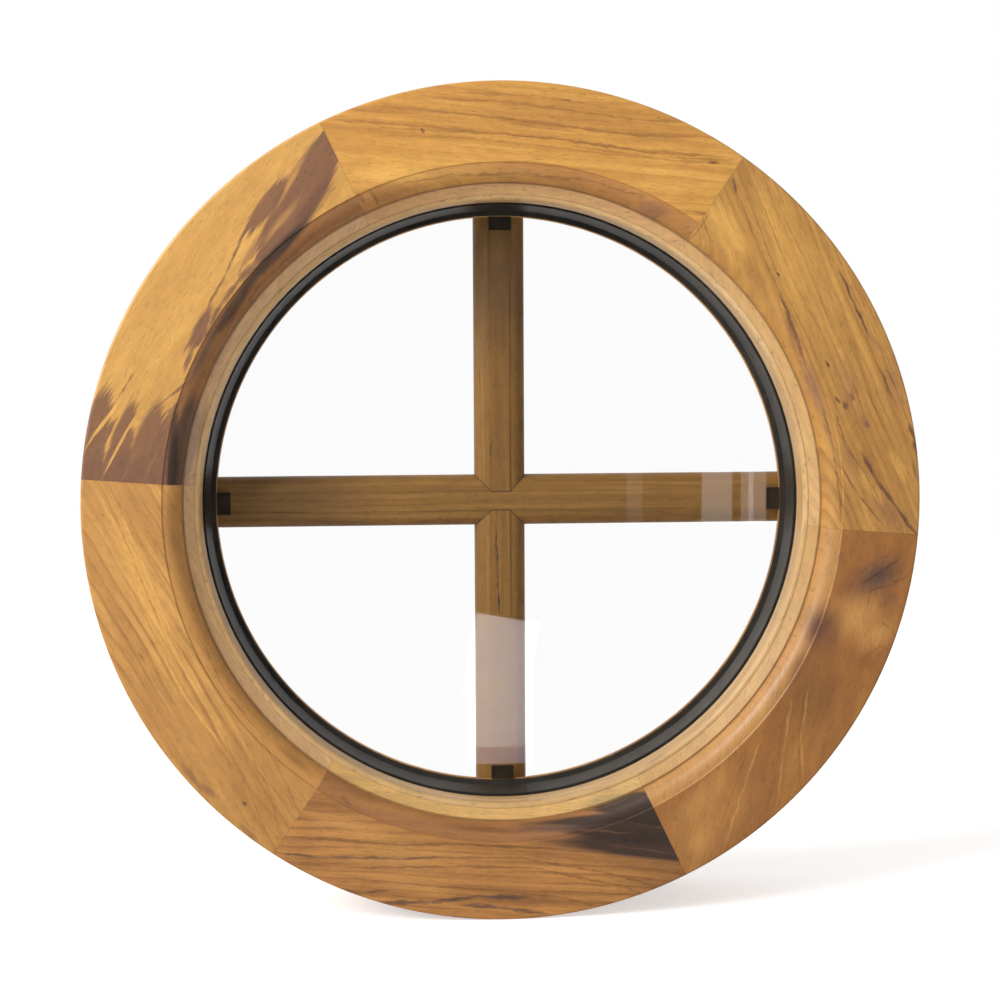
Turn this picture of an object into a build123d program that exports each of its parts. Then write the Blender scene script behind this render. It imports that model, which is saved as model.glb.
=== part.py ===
from build123d import *
import math
import os

# A round fixed window in its own frame. Millimetres, +Z up. The face looks along -Y and the axis of every
# ring is the Y axis. Radii are measured from that axis and depths from the face, so at_depth() turns a
# depth into a Y value. Angles run anticlockwise as the face is seen, from the right-hand side.

# Driving dimensions of the ring, whose two layers have one segment for each of these places
places = ("lower_right", "upper_right", "top", "upper_left", "lower_left", "bottom")
front_joint_angle = -4.4
rear_joint_angle = -45.0
outer_diameter = 610.0
face_width = 57.1
rim_arris = 2.0
shoulder_run = 0.9
shoulder_drop = 1.0
roundover_radius = 12.4
quirk_drop = 1.2
quirk_undercut = 0.6
quirk_run = 1.0
lead_in_run = 7.3
lead_in_drop = 4.4
spline_width = 34.0
spline_thickness = 9.0
spline_reach = 18.0
dowel_diameter = 10.0
dowel_reach = 20.0
wood_end_gap = 1.0

# Driving dimensions of the glazing
bead_thickness = 3.9
bead_depth = 21.5
bead_nose = 3.0
bead_gap = 0.15
filler_angle = 86.4
filler_length = 16.0
tape_thickness = 1.5
tape_setback = 0.8
pane_thickness = 4.0
cavity_depth = 12.0
glass_edge_gap = 1.5
sight_line_front = 5.0
sight_line_rear = 8.7
sealant_width = 1.8
block_length = 40.0
block_gap = 0.15
setting_block_angles = (250.0, 290.0)
locating_block_angles = (30.0, 150.0)

# Driving dimensions of the rear stop and the bars
stop_lap = 11.2
stop_land = 2.5
ledge_set_in = 0.3
jamb_return = 15.0
bar_angles = (0, 90, 180, 270)
bar_width = 38.0
bar_flat = 14.0
bar_step = 0.6
bar_depth = 22.0
bar_arris = 1.0
bar_seat = 12.0
bar_side_gap = 0.15
bar_end_gap = 0.3
wall_gap = 2.0
pad_width = 16.6
pad_length = 9.8
pad_thickness = 3.0
pad_pocket_margin = 3.0
pad_pocket_depth = 1.0
pad_gap = 0.2
cross_dowel_diameter = 6.0
cross_dowel_reach = 11.0
screw_diameter = 3.6
screw_head_diameter = 7.2
screw_head_height = 2.2
screw_length = 36.0
screw_slot_width = 0.9
screw_slot_depth = 1.0

# Angles that follow from them
segment_angle = 360.0 / len(places)
front_joint_angles = [front_joint_angle + i * segment_angle for i in range(len(places))]
rear_joint_angles = [rear_joint_angle + i * segment_angle for i in range(len(places))]

# Radii that follow from them
outer_radius = outer_diameter / 2
face_radius = outer_radius - face_width
shoulder_radius = face_radius - shoulder_run
quirk_radius = shoulder_radius - roundover_radius
lead_in_radius = quirk_radius - quirk_run
bore_radius = lead_in_radius - lead_in_run
bead_radius = bore_radius - bead_thickness
bead_back_radius = bore_radius - bead_gap
glass_radius = bore_radius - glass_edge_gap
sealant_radius = glass_radius - sealant_width
spacer_front_radius = bore_radius - sight_line_front
spacer_rear_radius = bore_radius - sight_line_rear
stop_radius = glass_radius - stop_lap
tape_inner_radius = stop_radius + tape_setback
ledge_radius = bore_radius - ledge_set_in
bar_end_radius = bore_radius + bar_seat
wall_radius = bar_end_radius + bar_end_gap + wall_gap
screw_radius = bore_radius + bar_seat / 2
spline_radius = (outer_radius + wall_radius) / 2

# Depths that follow from them
quirk_start = shoulder_drop + roundover_radius
lead_in_start = quirk_start + quirk_drop
bead_front = lead_in_start + lead_in_drop
front_tape_start = bead_front + bead_depth
front_pane_start = front_tape_start + tape_thickness
cavity_start = front_pane_start + pane_thickness
rear_pane_start = cavity_start + cavity_depth
rear_tape_start = rear_pane_start + pane_thickness
ring_joint = rear_tape_start + tape_thickness
bar_front = rear_tape_start + pad_thickness
ledge_start = bar_front + bar_depth
total_depth = ledge_start + jamb_return
rear_arris = total_depth - rim_arris
bar_round = (bar_width - bar_flat) / 2
bar_side_start = bar_step + bar_round

INWARD = Axis((0, 0, 0), (0, -1, 0))
os.makedirs("parts", exist_ok=True)


def at_depth(depth):
    """Y value of a depth measured from the face."""
    return depth - total_depth / 2


def spoke_plane(angle):
    """Plane through the axis: x points outward at the angle, y into the depth, z anticlockwise."""
    a = math.radians(angle)
    return Plane(origin=(0, 0, 0), x_dir=(math.cos(a), 0, math.sin(a)), z_dir=(-math.sin(a), 0, math.cos(a)))


def cross_plane(angle):
    """Plane square to a spoke: x lies across it, y points into the depth, z outward at the angle."""
    a = math.radians(angle)
    return Plane(origin=(0, 0, 0), x_dir=(math.sin(a), 0, -math.cos(a)), z_dir=(math.cos(a), 0, math.sin(a)))


def on_spoke(angle, radius, depth, turn=(0, 0, 0)):
    """Location on a spoke, turned about the spoke's own x, y and z."""
    return spoke_plane(angle).location * Location((radius, at_depth(depth), 0), turn)


def corners(*points):
    """Closed or open run of straight lines through (radius, depth) points."""
    return Polyline(*[(radius, at_depth(depth)) for radius, depth in points])


def bend(start, end, radius):
    """Arc between two (radius, depth) points."""
    return RadiusArc((start[0], at_depth(start[1])), (end[0], at_depth(end[1])), radius)


def hoop(start, span, *points):
    """Ring or part of a ring with a straight-sided section."""
    with BuildPart() as ring:
        with BuildSketch(spoke_plane(start)):
            with BuildLine():
                corners(*points, points[0])
            make_face()
        revolve(axis=INWARD, revolution_arc=span)
    return ring.part


def box_hoop(start, span, inner, outer, front, rear):
    """Ring or part of a ring with a rectangular section."""
    return hoop(start, span, (inner, front), (outer, front), (outer, rear), (inner, rear))


def dowel_angles():
    """Two dowels in each stretch of ring from a rear joint to the next front one."""
    ahead = (front_joint_angle - rear_joint_angle) % segment_angle
    return [rear + ahead * part / 3 for rear in rear_joint_angles for part in (1, 2)]


def spline_form(angle, depth, end_gap):
    """Loose tenon across the joint at an angle, or its mortise when it has an end gap."""
    with BuildPart() as form:
        with Locations(on_spoke(angle, spline_radius, depth)):
            Box(spline_width, spline_thickness, 2 * (spline_reach + end_gap))
    return form.part


def ring_dowel_form(end_gap):
    """All dowels between the two layers, or their holes when they have an end gap."""
    with BuildPart() as form:
        with Locations(*[on_spoke(a, spline_radius, ring_joint, (90, 0, 0)) for a in dowel_angles()]):
            Cylinder(dowel_diameter / 2, 2 * (dowel_reach + end_gap))
    return form.part


def bar_screw_form():
    """Countersunk screws in the four bar ends, without their slots."""
    shank = screw_length - screw_head_height
    with BuildPart() as form:
        with Locations(*[on_spoke(a, screw_radius, ledge_start, (90, 0, 0)) for a in bar_angles]):
            with Locations((0, 0, screw_head_height / 2)):
                Cone(screw_head_diameter / 2, screw_diameter / 2, screw_head_height)
            with Locations((0, 0, screw_head_height + shank / 2)):
                Cylinder(screw_diameter / 2, shank)
    return form.part


def cross_dowel_form(end_gap):
    """Dowels that join the upright bars to the level one, or their holes."""
    depth = bar_front + (bar_side_start + bar_depth) / 2
    with BuildPart() as form:
        with Locations(*[on_spoke(a, bar_width / 2, depth, (0, 90, 0)) for a in (90, 270)]):
            Cylinder(cross_dowel_diameter / 2, 2 * (cross_dowel_reach + end_gap))
    return form.part


def bar_form(angle, both):
    """Moulded bar along a spoke from the axis to its seat in the stop, or across the whole window."""
    side = bar_width / 2
    with BuildPart() as bar:
        with BuildSketch(cross_plane(angle)):
            with BuildLine():
                corners((-bar_flat / 2, bar_front + bar_step), (-bar_flat / 2, bar_front),
                        (bar_flat / 2, bar_front), (bar_flat / 2, bar_front + bar_step))
                bend((bar_flat / 2, bar_front + bar_step), (side, bar_front + bar_side_start), -bar_round)
                corners((side, bar_front + bar_side_start), (side, ledge_start - bar_arris),
                        (side - bar_arris, ledge_start), (bar_arris - side, ledge_start),
                        (-side, ledge_start - bar_arris), (-side, bar_front + bar_side_start))
                bend((-side, bar_front + bar_side_start), (-bar_flat / 2, bar_front + bar_step), -bar_round)
            make_face()
        extrude(amount=bar_end_radius, both=both)
        add(bar_screw_form(), mode=Mode.SUBTRACT)
    return bar.part


front_spline_depth = ring_joint / 2
rear_spline_depth = (ring_joint + total_depth) / 2

# Front layer: six moulded segments on the joints that the face shows
front_names = [f"front_segment_{place}" for place in places[1:] + places[:1]]
for label, start in zip(front_names, front_joint_angles):
    with BuildPart() as segment:
        with BuildSketch(spoke_plane(start)):
            with BuildLine():
                bend((outer_radius, rim_arris), (outer_radius - rim_arris, 0), rim_arris)
                corners((outer_radius - rim_arris, 0), (face_radius, 0), (shoulder_radius, shoulder_drop))
                bend((shoulder_radius, shoulder_drop), (quirk_radius, quirk_start), roundover_radius)
                corners((quirk_radius, quirk_start), (quirk_radius + quirk_undercut, lead_in_start),
                        (lead_in_radius, lead_in_start), (bore_radius, bead_front),
                        (bore_radius, ring_joint), (outer_radius, ring_joint), (outer_radius, rim_arris))
            make_face()
        revolve(axis=INWARD, revolution_arc=segment_angle)
        for joint in (start, start + segment_angle):
            add(spline_form(joint, front_spline_depth, wood_end_gap), mode=Mode.SUBTRACT)
        add(ring_dowel_form(wood_end_gap), mode=Mode.SUBTRACT)
        add(bar_screw_form(), mode=Mode.SUBTRACT)
    segment.part.label = label
    export_step(segment.part, f"parts/{label}.step")

# Rear layer: six segments with the stop that the glass rests on, staggered and clear of the bars
rear_names = [f"rear_segment_{place}" for place in places]
for label, start in zip(rear_names, rear_joint_angles):
    with BuildPart() as segment:
        with BuildSketch(spoke_plane(start)):
            with BuildLine():
                corners((wall_radius, rear_arris), (wall_radius, ledge_start),
                        (ledge_radius, ledge_start), (stop_radius, ring_joint + stop_land),
                        (stop_radius, ring_joint), (outer_radius, ring_joint),
                        (outer_radius, rear_arris))
                bend((outer_radius, rear_arris), (outer_radius - rim_arris, total_depth), -rim_arris)
                corners((outer_radius - rim_arris, total_depth), (wall_radius + rim_arris, total_depth))
                bend((wall_radius + rim_arris, total_depth), (wall_radius, rear_arris), -rim_arris)
            make_face()
        revolve(axis=INWARD, revolution_arc=segment_angle)
        for joint in (start, start + segment_angle):
            add(spline_form(joint, rear_spline_depth, wood_end_gap), mode=Mode.SUBTRACT)
        add(ring_dowel_form(wood_end_gap), mode=Mode.SUBTRACT)
        seat_length = bar_end_radius + bar_end_gap
        with Locations(*[on_spoke(a, seat_length / 2, (bar_front + total_depth) / 2) for a in bar_angles]):
            Box(seat_length, total_depth - bar_front, bar_width + 2 * bar_side_gap, mode=Mode.SUBTRACT)
        add(bar_screw_form(), mode=Mode.SUBTRACT)
    segment.part.label = label
    export_step(segment.part, f"parts/{label}.step")

with BuildPart() as front_splines:
    for angle in front_joint_angles:
        add(spline_form(angle, front_spline_depth, 0))
front_splines.part.label = "front_splines"
export_step(front_splines.part, "parts/front_splines.step")

with BuildPart() as rear_splines:
    for angle in rear_joint_angles:
        add(spline_form(angle, rear_spline_depth, 0))
rear_splines.part.label = "rear_splines"
export_step(rear_splines.part, "parts/rear_splines.step")

with BuildPart() as ring_dowels:
    add(ring_dowel_form(0))
ring_dowels.part.label = "ring_dowels"
export_step(ring_dowels.part, "parts/ring_dowels.step")

# Bent bead in front of the glass, open by the length of its filler piece
filler_arc = math.degrees(filler_length / bore_radius)
bead_spans = {"glazing_bead": (filler_angle + filler_arc / 2, 360.0 - filler_arc),
              "bead_filler": (filler_angle - filler_arc / 2, filler_arc)}
for label, (start, span) in bead_spans.items():
    with BuildPart() as bead:
        with BuildSketch(spoke_plane(start)):
            with BuildLine():
                bend((bead_radius + bead_nose, bead_front), (bead_radius, bead_front + bead_nose), bead_nose)
                corners((bead_radius, bead_front + bead_nose), (bead_radius, front_tape_start),
                        (bead_back_radius, front_tape_start), (bead_back_radius, bead_front),
                        (bead_radius + bead_nose, bead_front))
            make_face()
        revolve(axis=INWARD, revolution_arc=span)
    bead.part.label = label
    export_step(bead.part, f"parts/{label}.step")

with BuildPart() as front_tape:
    add(box_hoop(0, 360, bead_radius, bead_back_radius, front_tape_start, front_pane_start))
front_tape.part.label = "front_glazing_tape"
export_step(front_tape.part, "parts/front_glazing_tape.step")

# Sealed unit: two panes on a black spacer with sealant round its back
for label, start in {"front_pane": front_pane_start, "rear_pane": rear_pane_start}.items():
    with BuildPart() as pane:
        with BuildSketch(spoke_plane(0)):
            with BuildLine():
                corners((0, start), (glass_radius, start), (glass_radius, start + pane_thickness),
                        (0, start + pane_thickness), (0, start))
            make_face()
        revolve(axis=INWARD, revolution_arc=360)
    pane.part.label = label
    export_step(pane.part, f"parts/{label}.step")

with BuildPart() as glass_spacer:
    add(hoop(0, 360, (spacer_front_radius, cavity_start), (sealant_radius, cavity_start),
             (sealant_radius, rear_pane_start), (spacer_rear_radius, rear_pane_start)))
glass_spacer.part.label = "glass_spacer"
export_step(glass_spacer.part, "parts/glass_spacer.step")

with BuildPart() as edge_sealant:
    add(box_hoop(0, 360, sealant_radius, glass_radius, cavity_start, rear_pane_start))
edge_sealant.part.label = "edge_sealant"
export_step(edge_sealant.part, "parts/edge_sealant.step")

with BuildPart() as rear_tape:
    add(box_hoop(0, 360, tape_inner_radius, glass_radius, rear_tape_start, ring_joint))
rear_tape.part.label = "rear_glazing_tape"
export_step(rear_tape.part, "parts/rear_glazing_tape.step")

# Blocks between the edge of the glass and the bore: two carry it and two keep it central
block_arc = math.degrees(block_length / bore_radius)
block_sets = {"setting_blocks": setting_block_angles, "locating_blocks": locating_block_angles}
for label, angles in block_sets.items():
    with BuildPart() as blocks:
        for angle in angles:
            add(box_hoop(angle - block_arc / 2, block_arc, glass_radius + block_gap, bore_radius - block_gap,
                         front_pane_start, rear_tape_start))
    blocks.part.label = label
    export_step(blocks.part, f"parts/{label}.step")

# Bars: the level one runs through and the upright ones are coped over its moulding
with BuildPart() as horizontal_bar:
    add(bar_form(0, True))
    add(cross_dowel_form(wood_end_gap), mode=Mode.SUBTRACT)
horizontal_bar.part.label = "horizontal_bar"
export_step(horizontal_bar.part, "parts/horizontal_bar.step")

level_bar = bar_form(0, True)
for label, angle in {"upper_bar": 90, "lower_bar": 270}.items():
    with BuildPart() as upright:
        add(bar_form(angle, False))
        add(level_bar, mode=Mode.SUBTRACT)
        add(cross_dowel_form(wood_end_gap), mode=Mode.SUBTRACT)
    upright.part.label = label
    export_step(upright.part, f"parts/{label}.step")

with BuildPart() as cross_dowels:
    add(cross_dowel_form(0))
cross_dowels.part.label = "cross_dowels"
export_step(cross_dowels.part, "parts/cross_dowels.step")

with BuildPart() as bar_screws:
    add(bar_screw_form())
    with Locations(*[on_spoke(a, screw_radius, ledge_start) for a in bar_angles]):
        Box(screw_head_diameter, 2 * screw_slot_depth, screw_slot_width, mode=Mode.SUBTRACT)
bar_screws.part.label = "bar_screws"
export_step(bar_screws.part, "parts/bar_screws.step")

# Pads that keep the bars off the glass, each with a shallow square pocket on its glass side
pad_radius = stop_radius - pad_gap - pad_length / 2
with BuildPart() as bar_pads:
    with Locations(*[on_spoke(a, pad_radius, (rear_tape_start + bar_front) / 2) for a in bar_angles]):
        Box(pad_length, pad_thickness, pad_width)
    with Locations(*[on_spoke(a, pad_radius, rear_tape_start) for a in bar_angles]):
        Box(pad_length - pad_pocket_margin, 2 * pad_pocket_depth, pad_width - pad_pocket_margin,
            mode=Mode.SUBTRACT)
bar_pads.part.label = "bar_pads"
export_step(bar_pads.part, "parts/bar_pads.step")
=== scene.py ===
"""A round timber window with four lights, dressed, lit and framed as in its photograph."""

import logging
import math
from collections.abc import Iterable, Mapping
from dataclasses import dataclass, field, replace
from enum import Enum
from typing import Any

import bpy
from mathutils import Matrix, Vector


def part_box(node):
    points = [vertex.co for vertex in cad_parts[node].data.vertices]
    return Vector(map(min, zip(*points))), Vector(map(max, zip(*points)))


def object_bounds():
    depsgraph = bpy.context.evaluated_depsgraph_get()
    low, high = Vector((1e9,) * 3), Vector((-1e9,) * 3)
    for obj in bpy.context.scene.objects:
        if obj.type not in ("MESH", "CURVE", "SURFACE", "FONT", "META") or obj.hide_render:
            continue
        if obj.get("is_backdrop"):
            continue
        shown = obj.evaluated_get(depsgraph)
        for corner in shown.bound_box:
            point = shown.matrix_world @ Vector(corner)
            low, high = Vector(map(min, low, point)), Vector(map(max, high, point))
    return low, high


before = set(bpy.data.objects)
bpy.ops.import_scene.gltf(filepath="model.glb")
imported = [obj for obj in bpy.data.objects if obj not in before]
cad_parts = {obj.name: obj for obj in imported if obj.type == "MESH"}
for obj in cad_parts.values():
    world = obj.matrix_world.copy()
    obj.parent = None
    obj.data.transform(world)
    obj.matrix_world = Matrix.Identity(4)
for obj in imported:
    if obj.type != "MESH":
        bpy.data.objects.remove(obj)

Tree = bpy.types.NodeTree
Node = bpy.types.Node
Socket = bpy.types.NodeSocket
Material = bpy.types.Material

log = logging.getLogger("round_window")

MM = 0.001
FACE_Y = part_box("front_segment_top")[0].y

# Noise strays about this far from its middle, which is 0.5
NOISE_REACH = 0.25

# A board's seed moves its noise along the grain, and this many times as far across it
SEED_ACROSS = 1.7

# The depth behind the face at which the marks on the bars were read, in mm
BARS_MM = 65.0

# A mark runs right through its board, and ends a little past its own outline
THROUGH_MM = 1e6
MARK_END = 1.08

# The shares of each mark in a streak that run past its stretch, and that fade out
STREAK_OVERLAP = 0.2
STREAK_EDGE = 0.7


def linear(code: str) -> tuple[float, float, float, float]:
    """Turns an sRGB hex colour into the linear values that Blender's sockets take.

    Args:
        code: six hex digits after a hash sign.

    Returns:
        Linear red, green and blue, with full alpha.
    """
    parts = [int(code[i:i + 2], 16) / 255 for i in (1, 3, 5)]
    red, green, blue = (c / 12.92 if c <= 0.04045 else ((c + 0.055) / 1.055) ** 2.4 for c in parts)
    return red, green, blue, 1.0


def add_node(
    tree: Tree,
    kind: str,
    settings: Mapping[str, Any] | None = None,
    values: Mapping[str | int, Any] | None = None,
    links: Mapping[str | int, Node | Socket] | None = None,
) -> Node:
    """Adds one node with its settings and links.

    Args:
        tree: the node tree that it joins.
        kind: what follows "ShaderNode" in Blender's name for its type.
        settings: its properties, by name.
        values: what its input sockets hold, by socket name or number.
        links: what feeds its inputs, by socket name or number. A node gives its first output.

    Returns:
        The new node.
    """
    made = tree.nodes.new(f"ShaderNode{kind}")
    for name, value in (settings or {}).items():
        setattr(made, name, value)
    for socket, value in (values or {}).items():
        made.inputs[socket].default_value = value
    for socket, source in (links or {}).items():
        output = source.outputs[0] if isinstance(source, Node) else source
        tree.links.new(output, made.inputs[socket])
    return made


def new_material(name: str) -> tuple[Material, Tree, Socket]:
    """Starts a node material.

    Args:
        name: the finish, in a maker's words.

    Returns:
        The material, its nodes and the place on the object in metres, for its textures.
    """
    material = bpy.data.materials.new(name)
    material.use_nodes = True
    tree = material.node_tree
    tree.nodes.clear()
    return material, tree, add_node(tree, "TexCoord").outputs["Object"]


def dress(node: str, material: Material) -> None:
    """Gives a CAD node its finish and reports it.

    Args:
        node: the node's name in the frame.
        material: what all its faces wear.
    """
    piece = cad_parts[node]
    if not piece.material_slots:
        piece.data.materials.append(material)
    for slot in piece.material_slots:
        slot.material = material
    log.info("%s wears %s", node, material.name)


def joint_pairs(first: float, count: int) -> list[tuple[float, float]]:
    """Finds the two joints of each segment of a ring.

    Args:
        first: the angle of the first joint, in degrees from +X.
        count: how many segments the ring has.

    Returns:
        The angles of each segment's ends, in order round the ring.
    """
    step = 360 / count
    return [(first + index * step, first + (index + 1) * step) for index in range(count)]


@dataclass(frozen=True)
class Viewpoint:
    """Where the photograph was taken from, found from the circles and bars in it.

    The distance and the target are metres, and the focal length is pixels of the image.
    """

    azimuth: float = -4.123
    elevation: float = 4.368
    roll: float = -0.3
    distance: float = 1.300
    target: tuple[float, float, float] = (-0.00523, FACE_Y, 0.00544)
    focal_px: float = 1796.7
    image_px: int = 1000
    sensor_mm: float = 36.0

    def axes(self) -> tuple[Vector, Vector, Vector]:
        """Returns the camera's right, up and backward directions."""
        turn, rise = math.radians(self.azimuth), math.radians(self.elevation)
        back = Vector((math.sin(turn) * math.cos(rise), -math.cos(turn) * math.cos(rise), math.sin(rise)))
        level = Vector((0, 0, 1)).cross(back).normalized()
        rolled = Matrix.Rotation(math.radians(self.roll), 3, back)
        right = rolled @ level
        return right, back.cross(right), back

    def place(self) -> Vector:
        """Returns the camera's place, in metres."""
        return Vector(self.target) + self.axes()[2] * self.distance

    def ray(self, x_px: float, y_px: float) -> Vector:
        """Finds which way a pixel of the photograph looks.

        Args:
            x_px: pixels from the photograph's left side.
            y_px: pixels from its top.

        Returns:
            The direction, of no set length.
        """
        right, up, back = self.axes()
        middle = self.image_px / 2
        return right * (x_px - middle) - up * (y_px - middle) - back * self.focal_px

    def mirrored(self, x_px: float, y_px: float) -> tuple[float, float]:
        """Returns the rise to the right, and up, of what the glass mirrors in a pixel."""
        ray = self.ray(x_px, y_px)
        return ray.x / ray.y, ray.z / ray.y

    def on_window(self, x_px: float, y_px: float, depth: float = 0.0) -> Vector:
        """Finds where a pixel of the photograph lies on the window.

        Args:
            x_px: pixels from the photograph's left side.
            y_px: pixels from its top.
            depth: how far behind the face the point lies, in mm.

        Returns:
            The point, in metres.
        """
        ray, start = self.ray(x_px, y_px), self.place()
        return start + ray * ((FACE_Y + depth * MM - start.y) / ray.y)

    def build(self) -> bpy.types.Object:
        """Makes the camera and hands it to the scene.

        Returns:
            The camera.
        """
        data = bpy.data.cameras.new("photograph")
        data.sensor_width = self.sensor_mm
        data.lens = self.focal_px * self.sensor_mm / self.image_px
        camera = bpy.data.objects.new("photograph", data)
        bpy.context.scene.collection.objects.link(camera)
        turned = Matrix(self.axes()).transposed().to_4x4()
        camera.matrix_world = Matrix.Translation(self.place()) @ turned
        bpy.context.scene.camera = camera
        log.info("camera at %s", tuple(round(c, 3) for c in camera.location))
        return camera


class Stain(Enum):
    """Colours that run through this timber, as sRGB hex values. NIGHT also serves as painted shade on the
    ends of the bars, and UMBER as painted shade in the groove at the foot of the rounded edge.
    """

    GOLD = "#E2AB55"
    HONEY = "#CB9450"
    BROWN = "#A26C35"
    UMBER = "#7C5129"
    PLUM = "#6B4636"
    HEART = "#80583F"
    ROSE = "#99694A"
    SMOKE = "#60473A"
    NIGHT = "#43332A"


class Run(Enum):
    """How the grain runs through a piece."""

    STRAIGHT = "sawn straight"
    BENT = "bent round the window"


# A mark also serves as painted shade, on the ends of the bars
@dataclass(frozen=True)
class Mark:
    """One streak, stain, knot or pale patch, placed on the photograph.

    The ends of its long axis are pixels of the photograph, its width is mm of wood, and its
    depth is how far behind the face it was read. Its edge is the share of it that fades out,
    and a ragged mark on the face feathers along the grain.
    """

    x1: float
    y1: float
    x2: float
    y2: float
    width: float
    stain: Stain
    strength: float = 0.6
    depth: float = 0.0
    edge: float = 0.5
    ragged: bool = True


def streak(
    stain: Stain, width: float, strength: float, *line: tuple[float, float], depth: float = 0.0
) -> tuple[Mark, ...]:
    """Lays marks end to end along a line, each a little longer than its own stretch.

    Args:
        stain: the colour of the line.
        width: its width, in mm.
        strength: how much it covers, 0 to 1.
        line: pixels of the photograph that it passes through.
        depth: how far behind the face it was read, in mm.

    Returns:
        One mark for each stretch of the line.
    """
    marks = []
    for (x1, y1), (x2, y2) in zip(line, line[1:]):
        dx, dy = (x2 - x1) * STREAK_OVERLAP, (y2 - y1) * STREAK_OVERLAP
        ends = (x1 - dx, y1 - dy, x2 + dx, y2 + dy)
        marks.append(Mark(*ends, width, stain, strength, depth, STREAK_EDGE, ragged=False))
    return tuple(marks)


@dataclass(frozen=True)
class Figure:
    """The look of one board: its ground colours, how its grain lies and what marks it.

    The slope is degrees above +X. Growth rings are a spacing apart, the grain wanders from side
    to side and the ends of patches feather, all in mm. Lean is how far the growth layers shift
    across the grain for each mm of depth, and thin is how dark the lines of late wood are. The
    rounded inner edge and the recess behind it may have colours of their own. The seed moves
    the noise, so that no two boards are alike.
    """

    ground: str
    pale: str
    line: str
    slope: float
    spacing: float = 7.0
    contrast: float = 0.6
    wander: float = 4.0
    lean: float = 0.6
    feather: float = 10.0
    thin: float = 0.35
    moulding: str | None = None
    # Partly painted sheen: the recess colour is paler and greyer than the face, standing in for the sheen
    # that the steep inner walls catch, on top of the wood's own colour
    recess: str = "#DDB27A"
    seed: float = 0.0
    marks: tuple[Mark, ...] = ()


@dataclass(frozen=True)
class Noise:
    """Noise that is stretched along the grain.

    The length and width of one blotch are mm, detail is its octaves, and the shift keeps it
    apart from the other noises on the same board.
    """

    length: float
    width: float
    detail: float
    shift: float


@dataclass(frozen=True)
class Zone:
    """A stretch of the ring's inner profile that has a colour of its own.

    It starts and ends at these depths behind the face, in mm, and its share is how much of the
    board's colour it covers, 0 to 1.
    """

    start: float
    end: float
    share: float


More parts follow.
